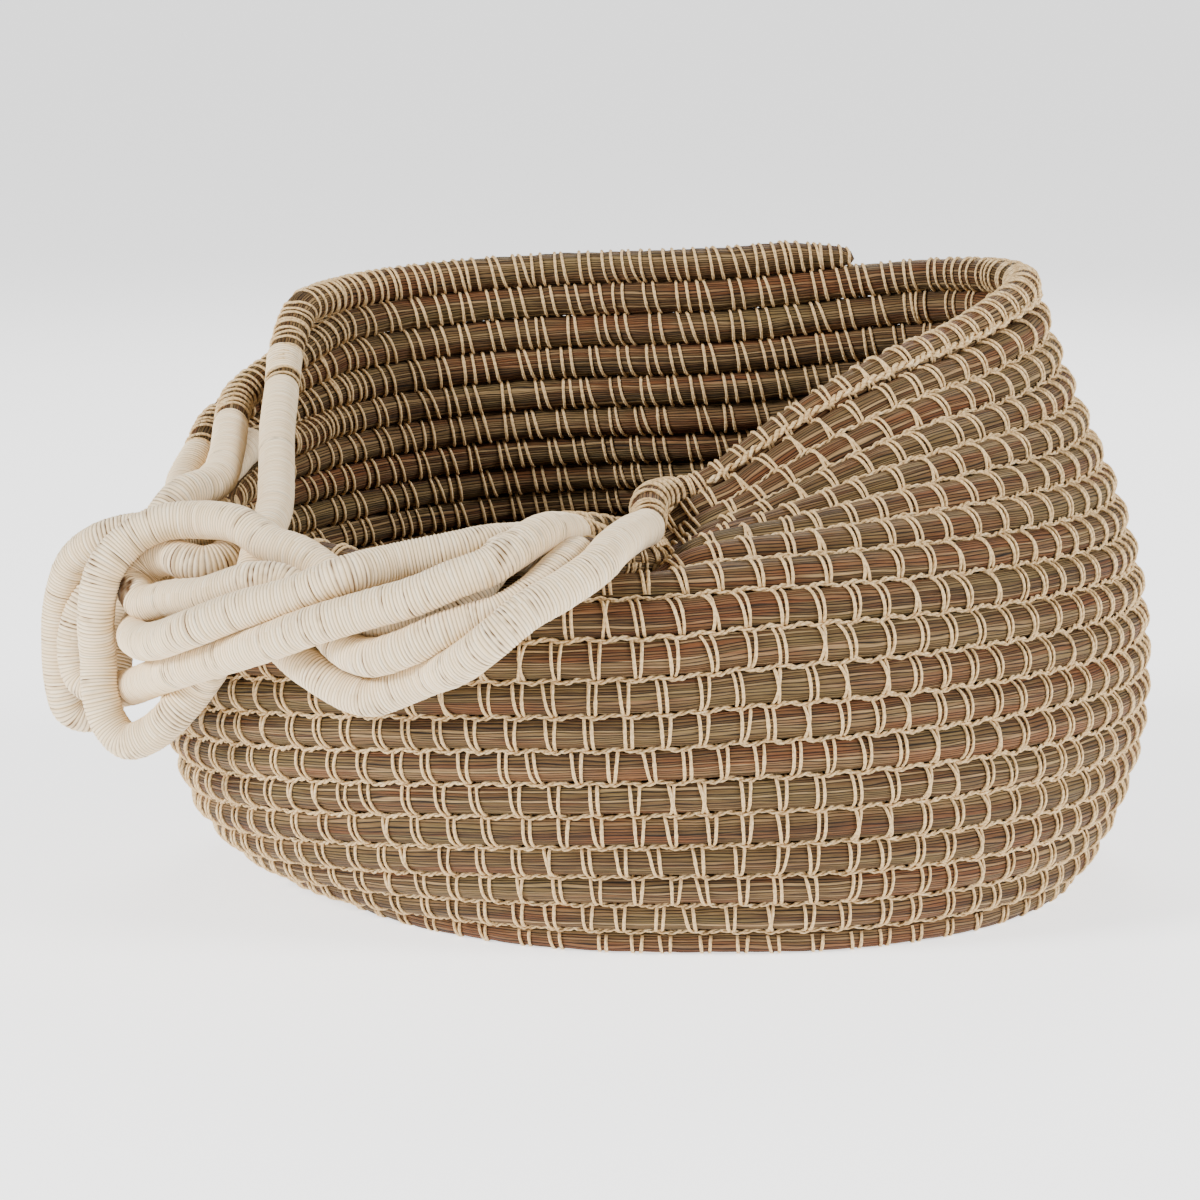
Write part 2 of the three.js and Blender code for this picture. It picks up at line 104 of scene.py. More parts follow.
# Routes of the strands, each from the turn that it leaves to the turn that it joins. The wrapping runs
# between two points of the route, and over a parted length the grass inside shows.
LEAD_LENGTH = 7
CURVE_STEPS = 10
LEAST_KNOT = 1e-4
ROUTES = [
    {"name": "wrapped_strand_1", "leaves": 19, "joins": 20, "wrap": (4, 24), "points": [
        (31, -80, 186), (22, -105, 187), (20, -136, 181), (13, -165, 182), (5, -190, 180), (-2, -206, 175),
        (-16, -218, 167), (-30, -226, 160), (-44, -229, 149), (-58, -220, 137), (-70, -207, 130),
        (-82, -201, 124), (-94, -196, 119), (-104, -191, 120), (-117, -184, 126), (-129, -171, 132),
        (-142, -158, 144), (-148, -142, 156), (-146, -119, 171), (-144, -88, 180), (-146, -50, 191),
        (-150, -2, 207), (-151, 36, 221), (-151, 57, 235), (-148, 73, 248)]},
    {"name": "wrapped_strand_2", "leaves": 18, "joins": 19, "wrap": (5, 22), "points": [
        (22, -90, 168), (0, -103, 173), (-14, -121, 177), (-24, -142, 177),
        (-34, -158, 178), (-48, -172, 179), (-62, -178, 177), (-85, -182, 173), (-106, -192, 169),
        (-127, -188, 160), (-150, -182, 153), (-170, -174, 144), (-188, -155, 135), (-201, -125, 131),
        (-201, -102, 136), (-200, -87, 149), (-199, -75, 167), (-189, -64, 183), (-175, -43, 187),
        (-173, -11, 194), (-174, 23, 206), (-172, 51, 216), (-150, 78, 231)]},
    {"name": "wrapped_strand_3", "leaves": 17, "joins": 18, "wrap": (5, 28), "points": [
        (29, -105, 163), (16, -110, 164), (1, -124, 171), (-11, -151, 180), (-24, -186, 186),
        (-38, -206, 180), (-45, -210, 176), (-59, -212, 171), (-75, -211, 164), (-96, -205, 157),
        (-117, -200, 150), (-139, -187, 140), (-159, -170, 131), (-177, -154, 123), (-192, -130, 114),
        (-208, -108, 105), (-220, -96, 102), (-230, -90, 106), (-233, -88, 117), (-231, -87, 131),
        (-225, -84, 142), (-216, -71, 148), (-208, -56, 156), (-200, -38, 163), (-195, -16, 171),
        (-195, 9, 180), (-190, 31, 191), (-184, 56, 203), (-158, 81, 217)]},
    {"name": "wrapped_strand_4", "leaves": 16, "joins": 16, "wrap": (5, 36), "points": [
        (30, -121, 162), (16, -127, 162), (3, -142, 164), (-10, -157, 166), (-25, -170, 171),
        (-38, -183, 178), (-50, -196, 167), (-63, -201, 156), (-76, -198, 152), (-90, -192, 149),
        (-104, -181, 157), (-114, -164, 165), (-126, -152, 171), (-140, -142, 174), (-155, -130, 181),
        (-173, -117, 181), (-190, -114, 179), (-204, -114, 172), (-215, -118, 159), (-219, -119, 139),
        (-219, -116, 120), (-218, -119, 104), (-214, -121, 92), (-206, -125, 85), (-195, -130, 89),
        (-184, -136, 99), (-173, -137, 112), (-165, -144, 127), (-170, -134, 141), (-178, -111, 149),
        (-184, -84, 160), (-185, -50, 170), (-182, -15, 180), (-175, 20, 186), (-167, 52, 192),
        (-149, 78, 191)]},
    {"name": "wrapped_strand_5", "leaves": 15, "joins": 17, "wrap": (5, 46), "parted": (262, 278),
     "points": [
        (28, -137, 164), (15, -149, 168), (3, -165, 171), (-8, -181, 176), (-17, -197, 172),
        (-28, -209, 164), (-41, -214, 157), (-51, -214, 154), (-66, -214, 149), (-78, -211, 143),
        (-94, -203, 137), (-106, -191, 139), (-115, -180, 147), (-123, -173, 155), (-132, -170, 162),
        (-144, -168, 163), (-167, -153, 154), (-185, -133, 149), (-196, -122, 145), (-202, -115, 148),
        (-203, -108, 153), (-197, -105, 160), (-187, -110, 164), (-180, -117, 163), (-171, -120, 162),
        (-163, -116, 164), (-159, -107, 169), (-164, -98, 172), (-176, -95, 172), (-188, -95, 172),
        (-205, -91, 172), (-219, -90, 168), (-233, -82, 157), (-240, -77, 139), (-242, -76, 121),
        (-241, -75, 97), (-238, -73, 88), (-231, -70, 85), (-224, -66, 88), (-221, -62, 97),
        (-220, -50, 119), (-216, -35, 138), (-208, -12, 155), (-200, 19, 168), (-187, 51, 184),
        (-162, 81, 200)]},
]

# Camera
VIEW_TARGET = Vector((-0.0036, 0.0207, 0.125))
VIEW_DISTANCE = 1.6
VIEW_ELEVATION = math.radians(10.05)
VIEW_FOCAL_PIXELS = 3408
PHOTO_PIXELS = 1200
SENSOR_WIDTH = 36


# Wall shape


def ease(start, end, value):
    """0 before the start and 1 past the end, with a soft rise between them."""
    share = np.clip((value - start) / (end - start), 0, 1)
    return share * share * (3 - 2 * share)


def swell(angle, span):
    """1 at the middle of a span of angles, falling to 0 at its two ends."""
    centre, before, after = span
    offset = np.mod(angle - centre + 180, 360) - 180
    reach = np.where(offset < 0, before, after)
    return np.where(np.abs(offset) < reach, np.cos(np.pi / 2 * offset / reach) ** 2, 0)


def lean(turn, angle):
    """Lean of the wall at a turn and an angle."""
    foot = FOOT_LEAN + FOOT_LEAN_LEFT * swell(angle, FOOT_LEFT_SPAN)
    shoulder = ease(*SHOULDER_TURNS, turn) - SHOULDER_RELEASE * ease(SHOULDER_TURNS[1], RIM_TURN, turn)
    return (
        foot
        + (SIDE_LEAN - foot) * ease(1, FOOT_TOP_TURN, turn)
        + BELLY_LEAN * ease(*BELLY_TURNS, turn)
        + SHOULDER_LEAN * swell(angle, SHOULDER_SPAN) * shoulder
        + TUCK_LEAN * swell(angle, TUCK_SPAN) * ease(*TUCK_TURNS, turn)
        + BOW_LEAN * swell(angle, BOW_SPAN) * ease(0, RIM_TURN, turn)
        + BACK_LEAN * swell(angle, BACK_SPAN) * ease(*BACK_TURNS, turn)
        - FLARE_LEAN * swell(angle, FLARE_SPAN) * ease(*FLARE_TURNS, turn)
    )


def outline(angle, radius, centre_y=0.0):
    """Point of the floor's outline, two half circles joined by two short straight runs."""
    height = COIL_DIAMETER / 2 - FLAT_DEPTH
    back = angle - 90
    front = 270 - angle
    if min(abs(back), abs(front)) < STRAIGHT_REACH:
        at_back = abs(back) < STRAIGHT_REACH
        share = (back if at_back else front) / STRAIGHT_REACH
        y = centre_y + (radius if at_back else -radius)
        return (BASE_CENTRE_X + share * BASE_HALF_STRAIGHT, y, height)
    right = 90 < angle < 270
    turned = 180 - angle if right else (angle - 360 if angle > 180 else angle)
    bend = math.radians(turned * BEND_RATE)
    side = 1 if right else -1
    x = BASE_CENTRE_X + side * (BASE_HALF_STRAIGHT + radius * math.cos(bend))
    return (x, centre_y + radius * math.sin(bend), height)


def climb(angle):
    """Share of one pitch that the coil has climbed at an angle. It climbs in the bends only."""
    left = 0.25 * np.sin(np.radians(np.minimum(angle * BEND_RATE, 90)))
    right = 0.5 + 0.25 * np.sin(np.radians(np.clip((angle - 180) * BEND_RATE, -90, 90)))
    last = 1 - 0.25 * np.sin(np.radians(np.minimum((360 - angle) * BEND_RATE, 90)))
    return np.where(angle <= 90, left, np.where(angle < 270, right, last))


def station_angle(share):
    """Angle at a share of one turn's stations."""
    return 360 * share - CROWDING * 360 / (4 * math.pi) * np.sin(4 * math.pi * share)


STATION_ANGLES = station_angle(np.arange(STATIONS + 1) / STATIONS)


def unit(vectors):
    """The same ways with a length of 1."""
    return vectors / np.maximum(np.linalg.norm(vectors, axis=-1, keepdims=True), 1e-12)


def sideways(along):
    """Level ways to the outside of a line."""
    return np.stack([-along[:, 1], along[:, 0], np.zeros(len(along))], axis=1)


def march_wall():
    """The wall's level lines, one pitch apart, each marched from the one below."""
    angles = STATION_ANGLES[:-1]
    lines = [
        np.array([outline(angle, BASE_RADIUS - FLOOR_PITCH) for angle in angles]),
        np.array([outline(angle, BASE_RADIUS) for angle in angles]),
    ]
    for turn in range(2, TAIL_TURN + 3):
        last = lines[-1]
        along = unit(np.roll(last, -1, axis=0) - np.roll(last, 1, axis=0))
        outward = unit(sideways(along))
        upward = np.cross(along, outward)
        angle = np.radians(lean(turn, angles))[:, None]
        lines.append(last + PITCH * (outward * np.cos(angle) + upward * np.sin(angle)))
    return np.array(lines)


WALL = march_wall()


def wall_points(heights, stations):
    """Points of the wall at heights counted in turns, smooth from station to station."""
    level = np.floor(heights).astype(int)
    index = np.floor(stations).astype(int)
    t = (stations - index)[:, None]

    def along(at_level):
        a, b, c, d = (WALL[at_level, (index + k) % STATIONS] for k in (-1, 0, 1, 2))
        return b + 0.5 * t * (c - a + t * (2 * a - 5 * b + 4 * c - d + t * (3 * (b - c) + d - a)))

    share = (heights - level)[:, None]
    return along(level) * (1 - share) + along(level + 1) * share


def angle_at(stations):
    """Angles at stations of a turn."""
    return np.interp(stations, np.arange(STATIONS + 1), STATION_ANGLES)


def station_of(angle):
    """Station of a turn at an angle."""
    return float(np.interp(angle, STATION_ANGLES, np.arange(STATIONS + 1)))


def coil_heights(progress):
    """Heights of the coil's centre, counted in turns."""
    turn = np.floor(progress)
    return turn - 0.75 + climb(angle_at((progress - turn) * STATIONS))


def coil_points(progress):
    """Centre of the coil at a progress counted in turns, a whole number at the left end of each turn."""
    return wall_points(coil_heights(progress), np.mod(progress, 1) * STATIONS)


def coil_upward(progress):
    """Way from the turn below to the turn above."""
    heights = coil_heights(progress)
    stations = np.mod(progress, 1) * STATIONS
    return unit(wall_points(heights + 1, stations) - wall_points(np.maximum(heights - 1, 0), stations))


def floor_points(progress):
    """Centre of the floor's spiral, progress counted in turns back from 1, where the wall begins. It is
    made of half circles, each half a pitch wider than the last and a quarter pitch off centre."""
    points = []
    for value in progress:
        turn = min(math.floor(value), 0)
        angle = float(angle_at((value - turn) * STATIONS))
        half_turns = 0 if angle <= 90 else (1 if angle < 270 else 2)
        radius = FLOOR_PITCH * (turn + FLOOR_TURNS - 1.75 + half_turns / 2)
        centre_y = -FLOOR_PITCH / 4 if half_turns == 1 else FLOOR_PITCH / 4
        points.append(outline(angle, radius, centre_y))
    return np.array(points)


# Runs: centre lines of bundles and threads, with the way out of the basket and the way up its wall


class Run:
    """A centre line with its frames, its angle round the basket and its radius, at even steps."""

    def __init__(self, centres, upward, radius, angle, step):
        length = np.concatenate([[0], np.cumsum(np.linalg.norm(np.diff(centres, axis=0), axis=1))])
        count = max(int(length[-1] / step), 2) + 1
        self.travel = np.linspace(0, length[-1], count)
        self.centre = self.spread(length, centres)
        self.along = unit(np.gradient(self.centre, axis=0))
        up = self.spread(length, upward)
        self.up = unit(up - self.along * np.sum(up * self.along, axis=1, keepdims=True))
        self.out = np.cross(self.up, self.along)
        self.radius = np.interp(self.travel, length, radius)
        self.angle = np.interp(self.travel, length, angle)

    def spread(self, length, values):
        return np.stack([np.interp(self.travel, length, values[:, k]) for k in range(3)], axis=1)

    def at(self, travel, values):
        """Values of the run at any travelled lengths."""
        flat = travel.ravel()
        if values.ndim == 1:
            return np.interp(flat, self.travel, values).reshape(travel.shape)
        columns = [np.interp(flat, self.travel, values[:, k]) for k in range(3)]
        return np.stack(columns, axis=1).reshape(travel.shape + (3,))


def carry(alongs, first):
    """The way up, carried along a line without twist."""
    carried = [first]
    for along in alongs[1:]:
        up = carried[-1] - along * np.dot(carried[-1], along)
        carried.append(up / np.linalg.norm(up))
    return np.array(carried)


def smooth_curve(points):
    """A centripetal curve through points, in equal steps between each two."""
    ends = np.vstack([2 * points[0] - points[1], points, 2 * points[-1] - points[-2]])
    curve = []
    knots = np.maximum(np.linalg.norm(np.diff(ends, axis=0), axis=1) ** 0.5, LEAST_KNOT)
    for i in range(len(points) - 1):
        a, b, c, d = ends[i:i + 4]
        first, middle, last = knots[i:i + 3]
        leave = ((b - a) / first - (c - a) / (first + middle) + (c - b) / middle) * middle
        reach = ((c - b) / middle - (d - b) / (middle + last) + (d - c) / last) * middle
        for t in np.arange(CURVE_STEPS) / CURVE_STEPS:
            square = -3 * b + 3 * c - 2 * leave - reach
            cube = 2 * b - 2 * c + leave + reach
            curve.append(b + t * (leave + t * (square + t * cube)))
    curve.append(points[-1])
    return np.array(curve)


def turn_end(turn, angle):
    """Centre, way along and way up where a turn leaves or joins the wall."""
    progress = turn + station_of(angle) / STATIONS
    reach = 0.5 / STATIONS
    centre, before, after = coil_points(np.array([progress, progress - reach, progress + reach]))
    along = unit(after - before)
    up = coil_upward(np.array([progress]))[0]
    return centre, along, unit(up - along * np.dot(up, along))


def route_line(route):
    """The strand's whole curve, with the way up carried from its front end and from its back end."""
    start, leaving, start_up = turn_end(route["leaves"], FRONT_END_ANGLE[route["leaves"]])
    end, arriving, end_up = turn_end(route["joins"], BACK_START_ANGLE[route["joins"]])
    points = np.array([
        start,
        start + LEAD_LENGTH * leaving,
        *route["points"],
        end - LEAD_LENGTH * arriving,
        end,
    ])
    curve = smooth_curve(points)
    along = unit(np.gradient(curve, axis=0))
    return curve, carry(along, start_up), carry(along[::-1], end_up)[::-1]


for each in ROUTES:
    each["curve"], each["front_up"], each["back_up"] = route_line(each)


def row_line(turn):
    """A turn of the wall with the bare lengths that lead to its strands: centres, ways up, thickness as a
    share and angles, and then where its sewn part begins and ends."""
    back = next((route for route in ROUTES if route["joins"] == turn), None)
    front = next((route for route in ROUTES if route["leaves"] == turn), None)
    first = station_of(BACK_START_ANGLE[turn]) if back else 0
    last = STATIONS
    if turn == TAIL_TURN:
        last = station_of(TAIL_END_ANGLE)
    elif front:
        last = station_of(FRONT_END_ANGLE[turn])
    stations = np.linspace(first, last, int((last - first) * STATION_POINTS) + 2)
    progress = turn + np.minimum(stations, STATIONS - 1e-6) / STATIONS
    centres = [coil_points(progress)]
    upward = [coil_upward(progress)]
    angles = [angle_at(stations)]
    radii = [np.ones(len(stations))]
    if turn == TAIL_TURN:
        tapered = np.clip((angles[0] - TAIL_TAPER_ANGLE) / (TAIL_END_ANGLE - TAIL_TAPER_ANGLE), 0, 1)
        nose = np.clip((TAIL_END_ANGLE - angles[0]) / TAIL_NOSE_ANGLE, 0, 1)
        rounded = np.sqrt(1 - TAIL_NOSE_ROUNDING * (1 - nose) ** 2)
        radii = [(1 - (1 - TAIL_TIP_SHARE) * tapered) * rounded]
        centres = [centres[0] - upward[0] * (1 - radii[0])[:, None] * COIL_DIAMETER / 2]
    if back:
        bare = slice(back["wrap"][1] * CURVE_STEPS, -1)
        lead = back["curve"][bare]
        centres.insert(0, lead)
        upward.insert(0, back["back_up"][bare])
        angles.insert(0, np.full(len(lead), angles[0][0]))
        radii.insert(0, np.linspace(BARE_SHARE, 1, len(lead)))
    if front:
        bare = slice(1, front["wrap"][0] * CURVE_STEPS + 1)
        lead = front["curve"][bare]
        centres.append(lead)
        upward.append(front["front_up"][bare])
        angles.append(np.full(len(lead), angles[-1][-1]))
        radii.append(np.linspace(1, BARE_SHARE, len(lead)))
    lengths = [np.sum(np.linalg.norm(np.diff(part, axis=0), axis=1)) for part in centres]
    sewn_from = lengths[0] if back else 0
    sewn_to = sum(lengths[:2]) if back else lengths[0]
    centres, upward, radii, angles = (np.concatenate(parts) for parts in (centres, upward, radii, angles))
    return (centres + ORIGIN_SHIFT, upward, radii, angles), (sewn_from, sewn_to)


# A wobble is a sum of waves whose rates and phases are drawn from these ranges
WOBBLE_WAVES = 6
WOBBLE_RATES = (0.5, 3.5)
WOBBLE_PHASES = (0, 6.28)


def wobble(values, seed):
    """A smooth uneven number between about -1 and 1 for each value."""
    random = np.random.default_rng(seed)
    total = np.zeros_like(values, dtype=float)
    for _ in range(WOBBLE_WAVES):
        total += np.sin(values * random.uniform(*WOBBLE_RATES) + random.uniform(*WOBBLE_PHASES))
    return total / WOBBLE_WAVES ** 0.5


# Meshes


def angles_around(sides):
    """Angles of the corners of a tube's ring."""
    return 2 * np.pi * np.arange(sides) / sides


def tubes(name, centres, out, radii, shade=None, uv_start=(0.0, 0.0)):
    """One object of closed tubes. centres and out are (tubes, rings, 3), radii (tubes, rings, sides), all
    in millimetres. Its UV map is in metres along and around each tube. No tube reaches below the ground."""
    count, rings, sides = radii.shape
    along = unit(np.gradient(centres, axis=1))
    first = unit(out - along * np.sum(out * along, axis=-1, keepdims=True))
    second = np.cross(along, first)
    around = angles_around(sides)
    points = (
        centres[:, :, None, :]
        + first[:, :, None, :] * (np.cos(around) * radii)[..., None]
        + second[:, :, None, :] * (np.sin(around) * radii)[..., None]
    )
    points[..., 2] = np.maximum(points[..., 2], 0)
    index = np.arange(count * rings * sides).reshape(count, rings, sides)
    nearer, farther = index[:, :-1], index[:, 1:]
    quads = np.stack(
        [nearer, np.roll(nearer, -1, axis=2), np.roll(farther, -1, axis=2), farther], axis=-1
    ).reshape(-1, 4)
    caps = index[:, 0, ::-1].tolist() + index[:, -1, :].tolist()
    mesh = bpy.data.meshes.new(name)
    mesh.from_pydata((points * MM).reshape(-1, 3).tolist(), [], quads.tolist() + caps)
    mesh.shade_smooth()
    steps = np.linalg.norm(np.diff(centres, axis=1), axis=-1)
    travel = np.concatenate([np.zeros((count, 1)), np.cumsum(steps, axis=1)], axis=1)
    u = np.stack([travel[:, :-1], travel[:, :-1], travel[:, 1:], travel[:, 1:]], axis=-1)
    step = 2 * np.pi * float(np.mean(radii)) / sides
    low = step * np.arange(sides)
    v = np.stack([low, low + step, low + step, low], axis=-1)
    corners = len(quads) * 4
    uv = np.zeros((corners + 2 * count * sides, 2))
    uv[:corners, 0] = np.repeat(u[:, :, None, :], sides, axis=2).reshape(-1) * MM
    uv[:corners, 1] = np.broadcast_to(v, (count, rings - 1, sides, 4)).reshape(-1) * MM
    layer = mesh.uv_layers.new(name="UVMap")
    layer.data.foreach_set("uv", (uv + np.array(uv_start)).astype(np.float32).ravel())
    if shade is not None:
        # The shade goes to the material as painted shade in the creases between rounds, and as grass where
        # they part
        attribute = mesh.attributes.new("crease_shade_and_grass", "FLOAT", "POINT")
        attribute.data.foreach_set("value", shade.astype(np.float32).ravel())
    piece = bpy.data.objects.new(name, mesh)
    bpy.context.scene.collection.objects.link(piece)
    return piece


def finish_piece(piece, slot, *nodes):
    """Gives a piece the material of its slot, hangs it under the root body, and hides the model's parts
    that it stands for.
    """
    piece.data.materials.append(material_for(slot))
    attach(piece, "root")
    if nodes:
        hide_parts(*nodes)


def node_of_turn(turn):
    """Name of a turn's solid."""
    if turn == TAIL_TURN:
        return "rim_tail"
    kind = "wall" if turn <= FULL_TURNS else ("shoulder" if turn < RIM_TURN else "rim")
    return f"{kind}_course_{turn:02d}"


# Materials


def linear(hex_colour):
    """sRGB hex to a linear colour."""
    channels = [(hex_colour >> shift & 255) / 255 for shift in (16, 8, 0)]
    return tuple(c / 12.92 if c <= 0.04045 else ((c + 0.055) / 1.055) ** 2.4 for c in channels) + (1.0,)


def add_node(tree, kind, links=None, values=None, stops=None, **settings):
    """A node with its settings, its sockets' values, its colour stops and what is linked to it."""
    node = tree.nodes.new(kind)
    for name, value in settings.items():
        setattr(node, name, value)
    for socket, value in (values or {}).items():
        node.inputs[socket].default_value = value
    for socket, source in (links or {}).items():
        tree.links.new(source, node.inputs[socket])
    if stops:
        elements = node.color_ramp.elements
        while len(elements) < len(stops):
            elements.new(1.0)
        for element, (position, colour) in zip(elements, stops):
            element.position = position
            element.color = colour
    return node


def grey(value):
    """A linear grey."""
    return (value, value, value, 1.0)


def new_material(name):
    """A material with its node tree and its shader."""
    material = bpy.data.materials.new(name)
    material.use_nodes = True
    tree = material.node_tree
    return material, tree, tree.nodes["Principled BSDF"]


def dried_seagrass(look):
    """Dried seagrass stems laid side by side: fine long stems, each its own tan, olive or red brown, with
    painted shade in the thin lines between them and a dull waxy skin."""
    material, tree, shader = new_material("dried_seagrass_stems")
    uv = add_node(tree, "ShaderNodeUVMap", uv_map="UVMap").outputs["UV"]
    # Stems side by side, counted across the bundle. They wander up to three widths sideways, and stems
    # about 8 mm apart wander by themselves.
    place = add_node(tree, "ShaderNodeSeparateXYZ", {"Vector": uv})
    drift = add_node(tree, "ShaderNodeMapping", {"Vector": uv},
                     {"Scale": (1 / look.wander_length, 130.0, 1.0)})
    wander = add_node(tree, "ShaderNodeTexNoise", {"Vector": drift.outputs[0]},
                      {"Scale": 1.0, "Detail": 2.0}, noise_dimensions="2D")
    across = add_node(tree, "ShaderNodeMath", {0: place.outputs[1]}, {1: 1 / look.stem_width},
                      operation="MULTIPLY")
    count = add_node(tree, "ShaderNodeMath", {0: wander.outputs[0], 2: across.outputs[0]}, {1: 3.0},
                     operation="MULTIPLY_ADD")
    even = {"Scale": 1.0, "Randomness": 0.75}
    cells = add_node(tree, "ShaderNodeTexVoronoi", {"W": count.outputs[0]}, even, voronoi_dimensions="1D")
    edges = add_node(tree, "ShaderNodeTexVoronoi", {"W": count.outputs[0]}, even, voronoi_dimensions="1D",
                     feature="DISTANCE_TO_EDGE")
    chance = add_node(tree, "ShaderNodeSeparateColor", {0: cells.outputs["Color"]})
    tones = add_node(tree, "ShaderNodeValToRGB", {0: chance.outputs[0]}, stops=[
        (0.0, linear(0x4C331D)), (0.25, linear(0x654A2D)), (0.5, linear(0x755939)),
        (0.75, linear(0x896C49)), (1.0, linear(0xAE8F64))])
    # Patches of the dried plant's green and its red brown, up to 110 mm long and 17 mm wide
    patch = add_node(tree, "ShaderNodeMapping", {"Vector": uv}, {"Scale": (9.0, 60.0, 1.0)})
    patches = add_node(tree, "ShaderNodeTexNoise", {"Vector": patch.outputs[0]},
                       {"Scale": 1.0, "Detail": 4.0, "Roughness": 0.65}, noise_dimensions="2D")
    green = add_node(tree, "ShaderNodeValToRGB", {0: patches.outputs[0]}, stops=[
        (0.49, grey(0.0)), (0.67, grey(0.55))])
    red = add_node(tree, "ShaderNodeValToRGB", {0: patches.outputs[0]}, stops=[
        (0.34, grey(0.62)), (0.49, grey(0.0))])
    greened = add_node(tree, "ShaderNodeMix", {0: green.outputs[0], 6: tones.outputs[0]},
                       {7: linear(0x7D6B42)}, data_type="RGBA")
    reddened = add_node(tree, "ShaderNodeMix", {0: red.outputs[0], 6: greened.outputs[2]},
                        {7: linear(0x7E4A2A)}, data_type="RGBA")
    # Fibres in the stems, about 17 mm long and 0.4 mm wide
    fibre = add_node(tree, "ShaderNodeMapping", {"Vector": uv}, {"Scale": (60.0, 2600.0, 1.0)})
    fibres = add_node(tree, "ShaderNodeTexNoise", {"Vector": fibre.outputs[0]},
                      {"Scale": 1.0, "Detail": 2.0}, noise_dimensions="2D")
    streak = add_node(tree, "ShaderNodeValToRGB", {0: fibres.outputs[0]}, stops=[
        (0.32, grey(0.62)), (0.62, grey(1.0))])
    streaked = add_node(tree, "ShaderNodeMix", {6: reddened.outputs[2], 7: streak.outputs[0]}, {0: 1.0},
                        data_type="RGBA", blend_type="MULTIPLY")
    # Painted shade in the thin lines between the stems, and each stem's roundness
    painted_gap_shade = add_node(tree, "ShaderNodeValToRGB", {0: edges.outputs["Distance"]}, stops=[
        (0.04, grey(0.04)), (0.28, grey(1.0))])
    # Multiplies the painted shade between the stems into their colour
    dark = add_node(tree, "ShaderNodeMix", {6: streaked.outputs[2], 7: painted_gap_shade.outputs[0]}, {0: 1.0},
                    data_type="RGBA", blend_type="MULTIPLY")
    round_stems = add_node(tree, "ShaderNodeMath", {0: edges.outputs["Distance"], 1: fibres.outputs[0]},
                           operation="ADD")
    bump = add_node(tree, "ShaderNodeBump", {"Height": round_stems.outputs[0]},
                    {"Strength": 1.0, "Distance": 0.0006})
    tree.links.new(dark.outputs[2], shader.inputs["Base Color"])
    tree.links.new(bump.outputs[0], shader.inputs["Normal"])
    shader.inputs["Roughness"].default_value = 0.6
    shader.inputs["Specular IOR Level"].default_value = 0.18
    return material


def cotton_wrapping(look):
    """Soft spun cotton cord wound round and round: a matt cream with a faint fuzz, painted shade in the
    creases between the rounds, and the dark of the grass where the rounds part, both as the mesh's
    attribute says."""
    material, tree, shader = new_material("wound_cotton_cord")
    uv = add_node(tree, "ShaderNodeUVMap", uv_map="UVMap").outputs["UV"]
    crease_shade_and_grass = add_node(tree, "ShaderNodeAttribute", attribute_name="crease_shade_and_grass", attribute_type="GEOMETRY")
    # Tints that change from round to round, 1.6 mm along the strand and 22 mm around it
    cord = add_node(tree, "ShaderNodeMapping", {"Vector": uv}, {"Scale": (640.0, 45.0, 1.0)})
    tints = add_node(tree, "ShaderNodeTexNoise", {"Vector": cord.outputs[0]},
                     {"Scale": 1.0, "Detail": 3.0}, noise_dimensions="2D")
    cream = add_node(tree, "ShaderNodeValToRGB", {0: tints.outputs[0]}, stops=[
        (0.25, linear(0xE9CFA2)), (0.5, tuple(look.cotton_colour) + (1.0,)), (0.75, linear(0xFBEACB))])
    # The attribute brings painted shade in the creases between the rounds, and the dark grass where they
    # part
    shown = add_node(tree, "ShaderNodeMix", {0: crease_shade_and_grass.outputs["Fac"], 6: cream.outputs[0]},
                     {7: linear(0x573A1E)}, data_type="RGBA")
    # Fuzz of the spun cord, 0.4 mm wide and 1.1 mm long, drawn coarser than real lint so that it shows
    fuzz = add_node(tree, "ShaderNodeMapping", {"Vector": uv}, {"Scale": (2600.0, 900.0, 1.0)})
    fuzzes = add_node(tree, "ShaderNodeTexNoise", {"Vector": fuzz.outputs[0]},
                      {"Scale": 1.0, "Detail": 2.0}, noise_dimensions="2D")
    bump = add_node(tree, "ShaderNodeBump", {"Height": fuzzes.outputs[0]},
                    {"Strength": 0.35, "Distance": 0.0003})
    tree.links.new(shown.outputs[2], shader.inputs["Base Color"])
    tree.links.new(bump.outputs[0], shader.inputs["Normal"])
    shader.inputs["Roughness"].default_value = 0.92
    shader.inputs["Specular IOR Level"].default_value = 0.2
    shader.inputs["Sheen Weight"].default_value = 0.15
    return material


